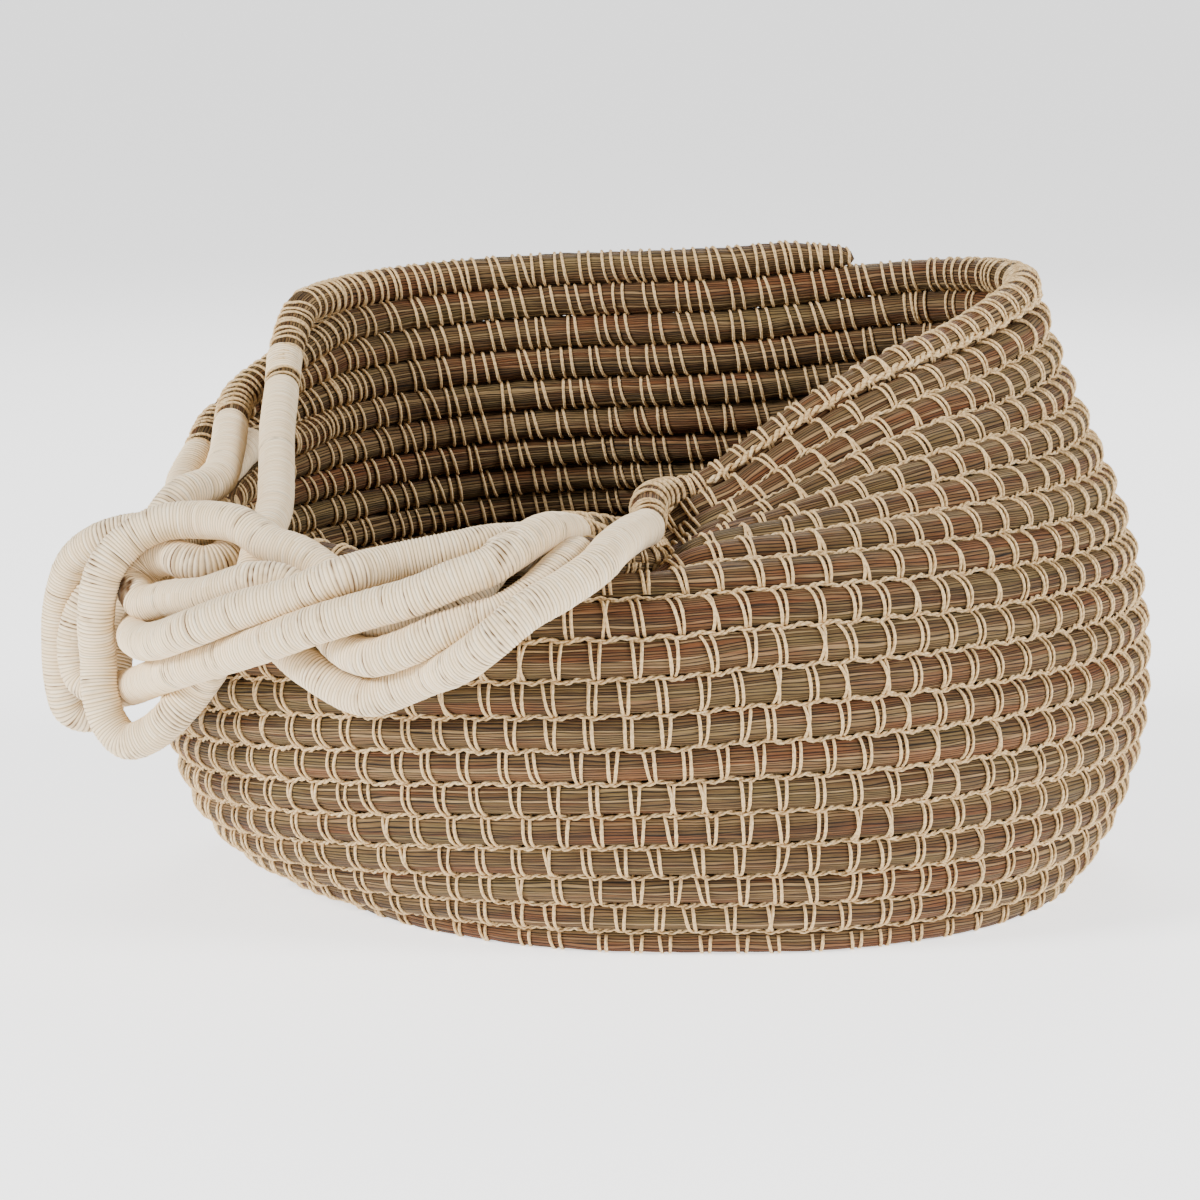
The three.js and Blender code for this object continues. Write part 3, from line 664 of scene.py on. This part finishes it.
def sewing_twine(look):
    """Twisted cotton twine: off-white and matt, with slanting plies and painted shade in the grooves
    between them.
    """
    material, tree, shader = new_material("twisted_cotton_twine")
    uv = add_node(tree, "ShaderNodeUVMap", uv_map="UVMap").outputs["UV"]
    # Plies at 35 degrees to the thread, about 2 mm from one to the next
    plies = add_node(tree, "ShaderNodeMapping", {"Vector": uv}, {"Rotation": (0, 0, math.radians(35))})
    bands = add_node(tree, "ShaderNodeTexWave", {"Vector": plies.outputs[0]},
                     {"Scale": 160.0, "Distortion": 1.0, "Detail": 1.0})
    # Lighter and darker lengths of thread, 4 to 5 mm long
    tints = add_node(tree, "ShaderNodeTexNoise", {"Vector": uv}, {"Scale": 220.0, "Detail": 2.0},
                     noise_dimensions="2D")
    tone = add_node(tree, "ShaderNodeValToRGB", {0: tints.outputs[0]}, stops=[
        (0.3, linear(0xC4A272)), (0.5, tuple(look.twine_colour) + (1.0,)), (0.75, linear(0xEDD3A6))])
    # Painted shade in the grooves between the plies
    shadow = add_node(tree, "ShaderNodeValToRGB", {0: bands.outputs[0]}, stops=[
        (0.0, grey(0.72)), (0.4, grey(1.0))])
    plied = add_node(tree, "ShaderNodeMix", {6: tone.outputs[0], 7: shadow.outputs[0]}, {0: 1.0},
                     data_type="RGBA", blend_type="MULTIPLY")
    bump = add_node(tree, "ShaderNodeBump", {"Height": bands.outputs[0]},
                    {"Strength": 0.5, "Distance": 0.0003})
    tree.links.new(plied.outputs[2], shader.inputs["Base Color"])
    tree.links.new(bump.outputs[0], shader.inputs["Normal"])
    shader.inputs["Roughness"].default_value = 0.9
    shader.inputs["Specular IOR Level"].default_value = 0.2
    return material


def studio_paper():
    """Seamless white studio paper: plain and matt, lit a little by itself so that it stays pale."""
    material, tree, shader = new_material("seamless_studio_paper")
    shader.inputs["Base Color"].default_value = linear(0xFAFAFA)
    shader.inputs["Roughness"].default_value = 0.95
    shader.inputs["Emission Color"].default_value = grey(1.0)
    shader.inputs["Emission Strength"].default_value = PAPER_GLOW
    return material


MATERIAL_MAKERS = {"seagrass": dried_seagrass, "cotton_wrap": cotton_wrapping, "sewing_twine": sewing_twine}


def material_for(slot):
    """The material of a slot, made the first time that it is asked for."""
    made = next((m for m in bpy.data.materials if m.get("basket_slot") == slot), None)
    if made is None:
        made = MATERIAL_MAKERS[slot](bpy.context.scene.basket_look)
        made["basket_slot"] = slot
    return made


# Settings


class BASKET_PG_sizes(bpy.types.PropertyGroup):
    bundle_diameter: bpy.props.FloatProperty(
        name="Bundle diameter", description="Thickness of the seagrass bundle", default=0.0155,
        unit="LENGTH")
    strand_diameter: bpy.props.FloatProperty(
        name="Strand diameter", description="Thickness of a wrapped strand", default=0.0166, unit="LENGTH")
    cord_pitch: bpy.props.FloatProperty(
        name="Wrapping cord", description="Thickness of one round of the wrapping", default=0.00155,
        unit="LENGTH")
    twine_diameter: bpy.props.FloatProperty(
        name="Twine diameter", description="Thickness of the sewing twine", default=0.0015, unit="LENGTH")
    stitch_spacing: bpy.props.FloatProperty(
        name="Stitch spacing", description="Distance from stitch to stitch", default=0.0153, unit="LENGTH")
    rim_spacing: bpy.props.FloatProperty(
        name="Rim stitch spacing", description="Stitch spacing on the rim", default=0.0112, unit="LENGTH")
    corner_spacing: bpy.props.FloatProperty(
        name="Corner stitch spacing", description="Stitch spacing where the rim turns down", default=0.0064,
        unit="LENGTH")
    lead_spacing: bpy.props.FloatProperty(
        name="Lead stitch spacing", description="Stitch spacing between the wall and a strand",
        default=0.0085, unit="LENGTH")


class BASKET_PG_look(bpy.types.PropertyGroup):
    stem_width: bpy.props.FloatProperty(
        name="Stem width", description="Width of one seagrass stem", default=0.00135, unit="LENGTH")
    wander_length: bpy.props.FloatProperty(
        name="Stem wander", description="Length over which the stems wander sideways", default=0.06,
        unit="LENGTH")
    cotton_colour: bpy.props.FloatVectorProperty(
        name="Cotton", description="Colour of the wrapping cord", default=linear(0xF6DDB4)[:3],
        subtype="COLOR", min=0, max=1)
    twine_colour: bpy.props.FloatVectorProperty(
        name="Twine", description="Colour of the sewing twine", default=linear(0xDCBA88)[:3],
        subtype="COLOR", min=0, max=1)


def millimetres(size):
    """One of the sizes that a user can set."""
    return getattr(bpy.context.scene.basket_sizes, size) / MM


# Grass

GRASS_STEP = 2.9
GRASS_SIDES = 24
FLOOR_STEP = 3.6
FLOOR_SIDES = 16
FLOOR_SQUEEZE = 0.2
FLOOR_NOSE = 8
FLOOR_NOSE_STEPS = 8
FLOOR_NOSE_ROUNDING = 0.75
FLOOR_POINTS = 6000
FLOOR_SEED = 90

# A stitch dents the bundle, which swells a little between two stitches and is uneven along and around
STITCH_DENT = 0.35
DENT_LENGTH = 2.6
DENT_MEAN = 0.45
UNEVENNESS = 0.16
UNEVEN_LENGTH = 14
UNEVEN_AROUND = 9
UNEVEN_SEEDS = 5

# Each bundle starts at another place of the stems' pattern
PATTERN_SHIFT = np.array([0.731, 0.173])

# Spacing of the stitches: its spread, the shares of it at the back and under the tail, and where on the
# tail it goes over from the corner's to the rim's and back
FIRST_STITCH = (2, 5)
LAST_STITCH = 2
SPACING_SPREAD = (0.9, 1.1)
BACK_ANGLES = (30, 150)
BACK_SPACING = 0.9
UNDER_TAIL_SPACING = 0.88
TAIL_OPENS = (34, 62)
TAIL_CLOSES = (100, TAIL_END_ANGLE)

# From a little short of the tail's end the rim has no turn above it, and its stitches go over its top
OPEN_SHORT_OF_TAIL = 4
STITCH_SEED = 40


def grass_run(turn):
    """The bundle of a turn, and where its sewn part begins and ends."""
    (centres, upward, share, angle), sewn = row_line(turn)
    return Run(centres, upward, share * millimetres("bundle_diameter") / 2, angle, GRASS_STEP), sewn


def stitch_spots(run, sewn, seed, spacing_at):
    """Travelled lengths of the stitches, close together on the bare lengths past the sewn part."""
    random = np.random.default_rng(seed)
    close = millimetres("lead_spacing")
    spots = []
    spot = random.uniform(*FIRST_STITCH)
    while spot < run.travel[-1] - LAST_STITCH:
        spots.append(spot)
        on_wall = sewn[0] < spot < sewn[1]
        spacing = spacing_at(float(np.interp(spot, run.travel, run.angle))) if on_wall else close
        spot += spacing * random.uniform(*SPACING_SPREAD)
    return np.array(spots)


def row_spacing(turn):
    """Spacing of a turn's stitches by angle."""
    wall, rim, corner = (millimetres(f"{place}_spacing") for place in ("stitch", "rim", "corner"))

    def spacing(angle):
        if turn == TAIL_TURN:
            opened = ease(*TAIL_OPENS, angle)
            closed = ease(*TAIL_CLOSES, angle)
            return (rim * opened + corner * (1 - opened)) * (1 - closed) + corner * closed
        if turn == RIM_TURN:
            return rim if angle > TAIL_END_ANGLE else wall * UNDER_TAIL_SPACING
        return wall * (BACK_SPACING if BACK_ANGLES[0] < angle < BACK_ANGLES[1] else 1.0)

    return spacing


def bundle(name, run, sides, spots, seed):
    """A grass bundle: uneven all round and a little pinched under every stitch."""
    nearest = np.min(np.abs(run.travel[:, None] - spots[None, :]), axis=1)
    pinch = STITCH_DENT * (np.exp(-((nearest / DENT_LENGTH) ** 2)) - DENT_MEAN)
    uneven = np.stack([
        wobble(run.travel / UNEVEN_LENGTH + UNEVEN_AROUND * math.cos(angle), seed + side % UNEVEN_SEEDS)
        for side, angle in enumerate(angles_around(sides))
    ], axis=1)
    radii = (run.radius - pinch)[:, None] + UNEVENNESS * uneven
    return tubes(name, run.centre[None], run.out[None], radii[None], uv_start=seed * PATTERN_SHIFT)


class BASKET_OT_floor(bpy.types.Operator):
    """Makes the flat spiral of the floor and its stitches"""

    bl_idname = "basket.floor"
    bl_label = "Floor"

    def execute(self, context):
        start = 1 - math.floor(FLOOR_TURNS) + station_of(FLOOR_START_ANGLE) / STATIONS
        # It ends a little short of the left end, where the last half circle meets the one before
        short = math.degrees(math.asin(0.25 / (FLOOR_TURNS - 0.75))) / BEND_RATE
        end = station_of(360 - short) / STATIONS
        centres = floor_points(np.linspace(start, end, FLOOR_POINTS))
        along = unit(np.gradient(centres, axis=0))
        outward = sideways(along)
        full = np.full(len(centres), FLOOR_PITCH / 2 + FLOOR_SQUEEZE)
        # The spiral begins with a rounded nose
        nose = np.linspace(1, 0, FLOOR_NOSE_STEPS)[:-1, None]
        centres = np.concatenate([centres[0] - along[0] * FLOOR_NOSE * nose, centres])
        outward = np.concatenate([np.repeat(outward[:1], len(nose), axis=0), outward])
        radius = np.concatenate([full[0] * np.sqrt(1 - FLOOR_NOSE_ROUNDING * nose[:, 0] ** 2), full])
        run = Run(centres + ORIGIN_SHIFT, outward, radius, radius, FLOOR_STEP)
        spacing = millimetres("stitch_spacing")
        sewn = (0, run.travel[-1])
        spots = stitch_spots(run, sewn, FLOOR_SEED, lambda angle: spacing)
        piece = bundle("grass_floor", run, FLOOR_SIDES, spots, FLOOR_SEED)
        finish_piece(piece, "seagrass", "floor_coil")
        sew(run, "stitches_floor", spots, sewn, lambda angle: False, FLOOR_SEED + 1)
        return {"FINISHED"}


class BASKET_OT_wall_turns(bpy.types.Operator):
    """Makes the fourteen full turns of the wall"""

    bl_idname = "basket.wall_turns"
    bl_label = "Wall turns"

    def execute(self, context):
        for turn in range(1, FULL_TURNS + 1):
            make_turn(turn)
        return {"FINISHED"}


class BASKET_OT_open_turns(bpy.types.Operator):
    """Makes the shoulder turns, the rim turn and the tail, with the bare lengths that lead to strands"""

    bl_idname = "basket.open_turns"
    bl_label = "Open turns"

    def execute(self, context):
        for turn in range(FULL_TURNS + 1, TAIL_TURN + 1):
            make_turn(turn)
        return {"FINISHED"}


def make_turn(turn):
    """Makes a turn of the wall and its stitches."""
    run, sewn = grass_run(turn)
    spots = stitch_spots(run, sewn, turn, row_spacing(turn))
    piece = bundle(f"grass_turn_{turn:02d}", run, GRASS_SIDES, spots, turn)
    finish_piece(piece, "seagrass", node_of_turn(turn))

    def open_above(angle):
        return turn == TAIL_TURN or (turn == RIM_TURN and angle > TAIL_END_ANGLE - OPEN_SHORT_OF_TAIL)

    sew(run, f"stitches_turn_{turn:02d}", spots, sewn, open_above, turn + STITCH_SEED)


# Stitches

THREAD_STEPS = 10
THREAD_SIDES = 5
THREAD_DEPTH = 0.6
THREAD_SPREAD = 0.08
GROOVE_ANGLE = 78
OPEN_ANGLE = 90

# Kinds of stitch: the draw that each goes up to, the places of its two threads at the foot and at the head,
# and how far the second thread lifts over the first. An open V, a crossed pair and a plain pair. The shift
# and the leans are a mean and a spread.
STITCHES = (
    (0.55, (-0.7, 0.7), (-2.3, 2.3), 0.35),
    (0.72, (1.5, -1.5), (-1.6, 1.6), 0.35),
    (1.0, (-1.3, 1.3), (-1.5, 1.5), 0.0),
)
STITCH_SHIFT = (0, 0.5)
STITCH_LEAN = (0.9, 1.3)
INSIDE_LEAN = (3.4, 1.1)
INSIDE_FEET = (-2.7, 2.7)


def sew(run, name, spots, sewn, open_above, seed):
    """Pairs of threads over the outside of a bundle, and the slanting pairs that bring them back inside.
    Past the ends of the sewn part they go all the way round."""
    random = np.random.default_rng(seed)
    thread = millimetres("twine_diameter") / 2
    centres, facing = [], []
    for spot in spots:
        angle = float(np.interp(spot, run.travel, run.angle))
        on_wall = sewn[0] < spot < sewn[1]
        top_end = OPEN_ANGLE if open_above(angle) or not on_wall else GROOVE_ANGLE
        low_end = GROOVE_ANGLE if on_wall else OPEN_ANGLE
        outer = np.radians(np.linspace(-low_end, top_end, THREAD_STEPS + 1))
        inner = np.radians(np.linspace(180 - top_end, 180 + low_end, THREAD_STEPS + 1))
        draw = random.random()
        feet, heads, lift = next(stitch[1:] for stitch in STITCHES if draw < stitch[0])
        foot = spot + random.normal(*STITCH_SHIFT)
        head = foot + random.normal(*STITCH_LEAN)
        inside = head + random.normal(*INSIDE_LEAN)
        for which in (0, 1):
            start, stop, low = foot + feet[which], head + heads[which], inside + INSIDE_FEET[which]
            for turned, first, last in ((outer, start, stop), (inner, stop, low)):
                share = np.linspace(0, 1, len(turned))
                travel = first + (last - first) * share
                depth = THREAD_DEPTH * thread + lift * which * np.sin(np.pi * share)
                radius = run.at(travel, run.radius) + depth
                out, up = run.at(travel, run.out), run.at(travel, run.up)
                away = out * np.cos(turned)[:, None] + up * np.sin(turned)[:, None]
                centres.append(run.at(travel, run.centre) + away * radius[:, None])
                facing.append(away)
    centres, facing = np.array(centres), np.array(facing)
    thickness = 1 + THREAD_SPREAD * random.standard_normal(centres.shape[:2])
    radii = thread * thickness[..., None] * np.ones(THREAD_SIDES)
    finish_piece(tubes(name, centres, facing, radii), "sewing_twine")


# Seams

CHAIN_STEP = 1.6
CHAIN_SIDES = 4
CHAIN_SEED = 5

# The two threads turn once in a lay and wave once in a stitch's length, and neither is quite even
CHAIN_LAY = 9.0
CHAIN_PLY_OFFSET = 0.72
CHAIN_WAVE = 0.8
LAY_UNEVENNESS, LAY_UNEVEN_LENGTH = 0.35, 60
WAVE_UNEVENNESS, WAVE_UNEVEN_LENGTH = 0.2, 80

# Setback from the middle of the wall, raise and thickness of a chain. The rim's is thicker, and proud.
WALL_CHAIN = (4.6, 0, 0.9)
RIM_CHAIN = (6.2, 2.4, 1.5)


def chain(name, first, last, setback, raised, thickness, seed, node):
    """The twisted pair of threads in the outer groove between a turn and the turn above it."""
    progress = np.linspace(first, last, int((last - first) * STATIONS * STATION_POINTS) + 2)
    lower, upper = coil_points(progress), coil_points(progress + 1)
    up = upper - lower
    along = unit(np.gradient(lower, axis=0))
    out = unit(np.cross(up, along))
    middle = (lower + upper) / 2 + out * setback + unit(up) * raised + ORIGIN_SHIFT
    flat = np.ones(len(progress))
    run = Run(middle, up, flat, flat, CHAIN_STEP)
    thread = millimetres("twine_diameter") / 2 * thickness
    spacing = millimetres("stitch_spacing")
    phase = run.travel / CHAIN_LAY + LAY_UNEVENNESS * wobble(run.travel / LAY_UNEVEN_LENGTH, seed)
    waves = run.travel / spacing + WAVE_UNEVENNESS * wobble(run.travel / WAVE_UNEVEN_LENGTH, seed + 1)
    wave = CHAIN_WAVE * np.sin(2 * np.pi * waves)
    ply = CHAIN_PLY_OFFSET * thickness
    plies = []
    for half in (0, 0.5):
        turned = 2 * np.pi * (phase + half)[:, None]
        offset = run.up * (np.cos(turned) * ply) + run.out * (np.sin(turned) * ply)
        plies.append(run.centre + offset + run.up * wave[:, None])
    centres = np.array(plies)
    radii = np.full(centres.shape[:2] + (CHAIN_SIDES,), thread)
    finish_piece(tubes(name, centres, np.array([run.out, run.out]), radii), "sewing_twine", node)


class BASKET_OT_seams(bpy.types.Operator):
    """Makes the twisted chains of twine in the grooves between the turns"""

    bl_idname = "basket.seams"
    bl_label = "Seams"

    def execute(self, context):
        last = FULL_TURNS + station_of(FRONT_END_ANGLE[FULL_TURNS + 1]) / STATIONS
        chain("chain_wall", 1, last, *WALL_CHAIN, CHAIN_SEED, "wall_seam_twine")
        for turn in range(FULL_TURNS + 1, TAIL_TURN):
            start = max(BACK_START_ANGLE.get(turn, 0), BACK_START_ANGLE[turn + 1])
            end = min(FRONT_END_ANGLE[turn], FRONT_END_ANGLE.get(turn + 1, TAIL_END_ANGLE))
            chain(f"chain_{turn}_{turn + 1}", turn + station_of(start) / STATIONS,
                  turn + station_of(end) / STATIONS, *(RIM_CHAIN if turn == RIM_TURN - 1 else WALL_CHAIN),
                  turn, f"seam_twine_{turn}_{turn + 1}")
        return {"FINISHED"}


# Wrapped strands

# A round of cord is a ridge of four rings, and no two rounds stand quite equally proud
WRAP_SIDES = 20
RINGS_PER_ROUND = 4
ROUND_PROFILE = np.array([0.0, 0.8, 1.0, 0.8])
ROUND_RELIEF = 0.48
ROUND_SPREAD = 0.06
WRAP_SEED = 60
WRAP_UNEVENNESS, WRAP_UNEVEN_LENGTH = 0.12, 30
END_ROUNDING, END_LENGTH = 0.8, 1.2
BINDING_SHARE = 1.03
BINDING_START = 3

# A strand is pressed by centre lines within reach, but not by its own near lengths or by the bundle that it
# carries on. A line presses the side that faces it, and the other sides are free.
PRESS_REACH = 19
OWN_REACH = 32
COAXIAL_REACH = 10
FIRST_PRESSING_TURN = 6
NEIGHBOUR_STEP = 3
FACING = 0.3
FREE = 99.0
LEAST_RADIUS = 6.2

# The rounds part where the outside of a bend is longer than its middle, more in some patches than in
# others. The shade is painted shade in the crease between every two rounds, and on top of it the share of
# dark grass that shows where they part.
OPENS_AT, OPENS_OVER = 1.06, 0.24
OPENING = (0.15, 1.0)
LOOSE_ROUNDS, LOOSE_GAP = 0.05, 0.7
PATCH_MEAN, PATCH_SPREAD, PATCH_MOST = 0.65, 0.6, 1.4
PATCH_LENGTH, PATCH_AROUND = 3, 4
VALLEY_SHADE, VALLEY_OPENED, RIDGE_OPENED = 0.6, 0.9, 0.4
PARTED_AT, PARTED_SHADE, PARTED_SPREAD, PARTED_DEPTH = 1.05, 0.75, 0.25, 0.6


def wrap_span(route):
    """The wrapped length of a route."""
    first, last = (index * CURVE_STEPS for index in route["wrap"])
    return slice(first, last + 1)


def strand_neighbours():
    """Centre lines that a strand can press against: the strands, and the upper turns of the wall."""
    lines = []
    for number, route in enumerate(ROUTES, 1):
        centres = route["curve"][wrap_span(route)]
        flat = np.ones(len(centres))
        up = route["front_up"][wrap_span(route)]
        lines.append((number, Run(centres + ORIGIN_SHIFT, up, flat, flat, NEIGHBOUR_STEP)))
    lines += [(0, grass_run(turn)[0]) for turn in range(FIRST_PRESSING_TURN, TAIL_TURN + 1)]
    tree = KDTree(sum(len(run.travel) for _, run in lines))
    facts = []
    for number, run in lines:
        for travel, centre in zip(run.travel, run.centre):
            tree.insert(centre, len(facts))
            facts.append((number, travel))
    tree.balance()
    return tree, facts


def pressed(run, number, radii, away, neighbours):
    """The strand's radii, flattened where it lies against another strand or against the wall."""
    tree, facts = neighbours
    room = np.full(radii.shape, FREE)
    wall = millimetres("bundle_diameter") / 2
    known = np.arange(0, len(run.travel), RINGS_PER_ROUND)
    for ring in known:
        for place, index, distance in tree.find_range(run.centre[ring], PRESS_REACH):
            other, travel = facts[index]
            own = other == number and abs(travel - run.travel[ring]) < OWN_REACH
            if own or distance < COAXIAL_REACH:
                continue
            reach = distance - wall if other == 0 else distance / 2
            toward = away[ring] @ (np.array(place) - run.centre[ring]) / distance
            limit = np.where(toward > FACING, reach / np.maximum(toward, FACING), FREE)
            room[ring] = np.minimum(room[ring], limit)
    for side in range(WRAP_SIDES):
        room[:, side] = np.interp(np.arange(len(run.travel)), known, room[known, side])
    return np.minimum(radii, np.maximum(room + ROUND_RELIEF / 2, LEAST_RADIUS))


def wrapped(name, curve, up, diameter, number, node, neighbours, parted=(0, 0)):
    """Cotton cord wound round a strand, a ridge for each round with painted shade in the creases between
    them, pulled apart outside the bends. Over the parted length the grass inside shows."""
    flat = np.full(len(curve), diameter / 2)
    run = Run(curve + ORIGIN_SHIFT, up, flat, flat, millimetres("cord_pitch") / RINGS_PER_ROUND)
    seed = WRAP_SEED + number
    random = np.random.default_rng(seed)
    rings = len(run.travel)
    rounds = rings // RINGS_PER_ROUND + 1

    def by_round(values):
        return np.repeat(values, RINGS_PER_ROUND)[:rings, None]

    around = angles_around(WRAP_SIDES)
    away = run.out[:, None] * np.cos(around)[:, None] + run.up[:, None] * np.sin(around)[:, None]
    proud = by_round(random.normal(0, ROUND_SPREAD, rounds))
    profile = ROUND_PROFILE[np.arange(rings) % RINGS_PER_ROUND][:, None]
    uneven = np.stack([wobble(run.travel / WRAP_UNEVEN_LENGTH + math.cos(a), seed) for a in around], axis=1)
    smooth = pressed(run, number, run.radius[:, None] + WRAP_UNEVENNESS * uneven, away, neighbours)
    radii = smooth + ROUND_RELIEF * (profile - 1) + proud * profile
    ends = np.minimum(run.travel, run.travel[-1] - run.travel)
    radii -= END_ROUNDING * np.clip(1 - ends / END_LENGTH, 0, 1)[:, None]

    edge = run.centre[:, None] + away * radii.mean()
    stretch = np.linalg.norm(np.gradient(edge, axis=0), axis=-1) / np.gradient(run.travel)[:, None]
    opening = by_round(random.uniform(*OPENING, rounds) ** 2)
    loose = by_round(random.random(rounds) < LOOSE_ROUNDS)
    patches = [wobble(run.travel / PATCH_LENGTH + PATCH_AROUND * math.sin(a), seed + 3) for a in around]
    patchy = PATCH_MEAN + PATCH_SPREAD * np.stack(patches, axis=1)
    opened = np.clip((stretch - OPENS_AT) / OPENS_OVER, 0, 1) * opening + loose * LOOSE_GAP
    opened = np.clip(opened * np.clip(patchy, 0, PATCH_MOST), 0, 1)
    # Every valley ring between two rounds gets painted shade, and where the rounds open the grass shows on
    # top of it
    shade = np.where(profile == 0, VALLEY_SHADE + VALLEY_OPENED * opened, RIDGE_OPENED * opened)
    inside = (run.travel > parted[0]) & (run.travel < parted[1])
    bare = inside[:, None] & (stretch > PARTED_AT)
    shade = np.where(bare, PARTED_SHADE + PARTED_SPREAD * patchy, shade)
    radii -= PARTED_DEPTH * bare
    piece = tubes(name, run.centre[None], run.out[None], radii[None], shade=shade[None])
    finish_piece(piece, "cotton_wrap", node)


class BASKET_OT_wrapped_strands(bpy.types.Operator):
    """Makes the five cotton-wrapped strands of the knot"""

    bl_idname = "basket.wrapped_strands"
    bl_label = "Wrapped strands"

    def execute(self, context):
        neighbours = strand_neighbours()
        for number, route in enumerate(ROUTES, 1):
            span = wrap_span(route)
            wrapped(f"cotton_strand_{number}", route["curve"][span], route["front_up"][span],
                    millimetres("strand_diameter"), number, route["name"], neighbours,
                    route.get("parted", (0, 0)))
        return {"FINISHED"}


class BASKET_OT_tail_binding(bpy.types.Operator):
    """Makes the short cotton binding on the tail, above the bare grass where its strand ends"""

    bl_idname = "basket.tail_binding"
    bl_label = "Tail binding"

    def execute(self, context):
        route = ROUTES[0]
        end = route["wrap"][1] * CURVE_STEPS
        span = slice(end + BINDING_START, end + CURVE_STEPS + 1)
        wrapped("cotton_tail_binding", route["curve"][span], route["back_up"][span],
                millimetres("strand_diameter") * BINDING_SHARE, len(ROUTES) + 1, "tail_binding",
                strand_neighbours())
        return {"FINISHED"}


# Stage: a floor that reaches the horizon just under the basket, and lights by name, place, width and watts

PAPER_SIZE = 9000
PAPER_DROP = 0.0006
PAPER_GLOW = 1.5
AIR_LIGHT = 0.3
LIGHTS = (
    ("left_light", (-2.35, -1.4, 1.6), 1.0, 137),
    ("right_light", (2.4, -1.15, 1.6), 1.1, 100),
    ("back_light", (0.3, 2.2, 1.9), 1.4, 36),
)


class BASKET_OT_stage(bpy.types.Operator):
    """Makes the pale floor, the soft lights and the camera"""

    bl_idname = "basket.stage"
    bl_label = "Stage"

    def execute(self, context):
        scene = context.scene
        bpy.ops.mesh.primitive_plane_add(size=PAPER_SIZE, location=(0, 0, 0))
        paper = context.active_object
        paper.name = "studio_floor"
        paper.data.transform(Matrix.Translation((0, 0, -PAPER_DROP)))
        paper.data.materials.append(studio_paper())
        for name, place, size, power in LIGHTS:
            data = bpy.data.lights.new(name, "AREA")
            data.shape = "DISK"
            data.size = size
            data.energy = power
            lamp = bpy.data.objects.new(name, data)
            lamp.location = place
            lamp.rotation_euler = (VIEW_TARGET - Vector(place)).to_track_quat("-Z", "Y").to_euler()
            scene.collection.objects.link(lamp)
        world = bpy.data.worlds.new("studio_air")
        world.use_nodes = True
        background = world.node_tree.nodes["Background"]
        background.inputs["Color"].default_value = grey(1.0)
        background.inputs["Strength"].default_value = AIR_LIGHT
        scene.world = world
        lens = bpy.data.cameras.new("photo_camera")
        lens.sensor_width = SENSOR_WIDTH
        lens.lens = VIEW_FOCAL_PIXELS * SENSOR_WIDTH / PHOTO_PIXELS
        camera = bpy.data.objects.new("photo_camera", lens)
        backward = Vector((0, -math.cos(VIEW_ELEVATION), math.sin(VIEW_ELEVATION)))
        camera.location = VIEW_TARGET + VIEW_DISTANCE * backward
        camera.rotation_euler = (-backward).to_track_quat("-Z", "Y").to_euler()
        scene.collection.objects.link(camera)
        scene.camera = camera
        return {"FINISHED"}


class BASKET_PT_panel(bpy.types.Panel):
    """Lists the sizes, the colours and the operators"""

    bl_label = "Basket"
    bl_space_type = "VIEW_3D"
    bl_region_type = "UI"
    bl_category = "Basket"

    def draw(self, context):
        for group in (context.scene.basket_sizes, context.scene.basket_look):
            box = self.layout.box()
            for name in group.bl_rna.properties.keys():
                if name not in ("rna_type", "name"):
                    box.prop(group, name)
        for operator in OPERATORS:
            self.layout.operator(operator.bl_idname)


OPERATORS = (
    BASKET_OT_floor,
    BASKET_OT_wall_turns,
    BASKET_OT_open_turns,
    BASKET_OT_seams,
    BASKET_OT_wrapped_strands,
    BASKET_OT_tail_binding,
    BASKET_OT_stage,
)
CLASSES = (BASKET_PG_sizes, BASKET_PG_look, *OPERATORS, BASKET_PT_panel)


def register():
    for cls in CLASSES:
        bpy.utils.register_class(cls)
    bpy.types.Scene.basket_sizes = bpy.props.PointerProperty(type=BASKET_PG_sizes)
    bpy.types.Scene.basket_look = bpy.props.PointerProperty(type=BASKET_PG_look)


def unregister():
    del bpy.types.Scene.basket_look
    del bpy.types.Scene.basket_sizes
    for cls in reversed(CLASSES):
        bpy.utils.unregister_class(cls)


def main():
    register()
    bpy.ops.basket.stage()
    bpy.ops.basket.floor()
    bpy.ops.basket.wall_turns()
    bpy.ops.basket.open_turns()
    bpy.ops.basket.seams()
    bpy.ops.basket.wrapped_strands()
    bpy.ops.basket.tail_binding()


if __name__ == "__main__":
    main()
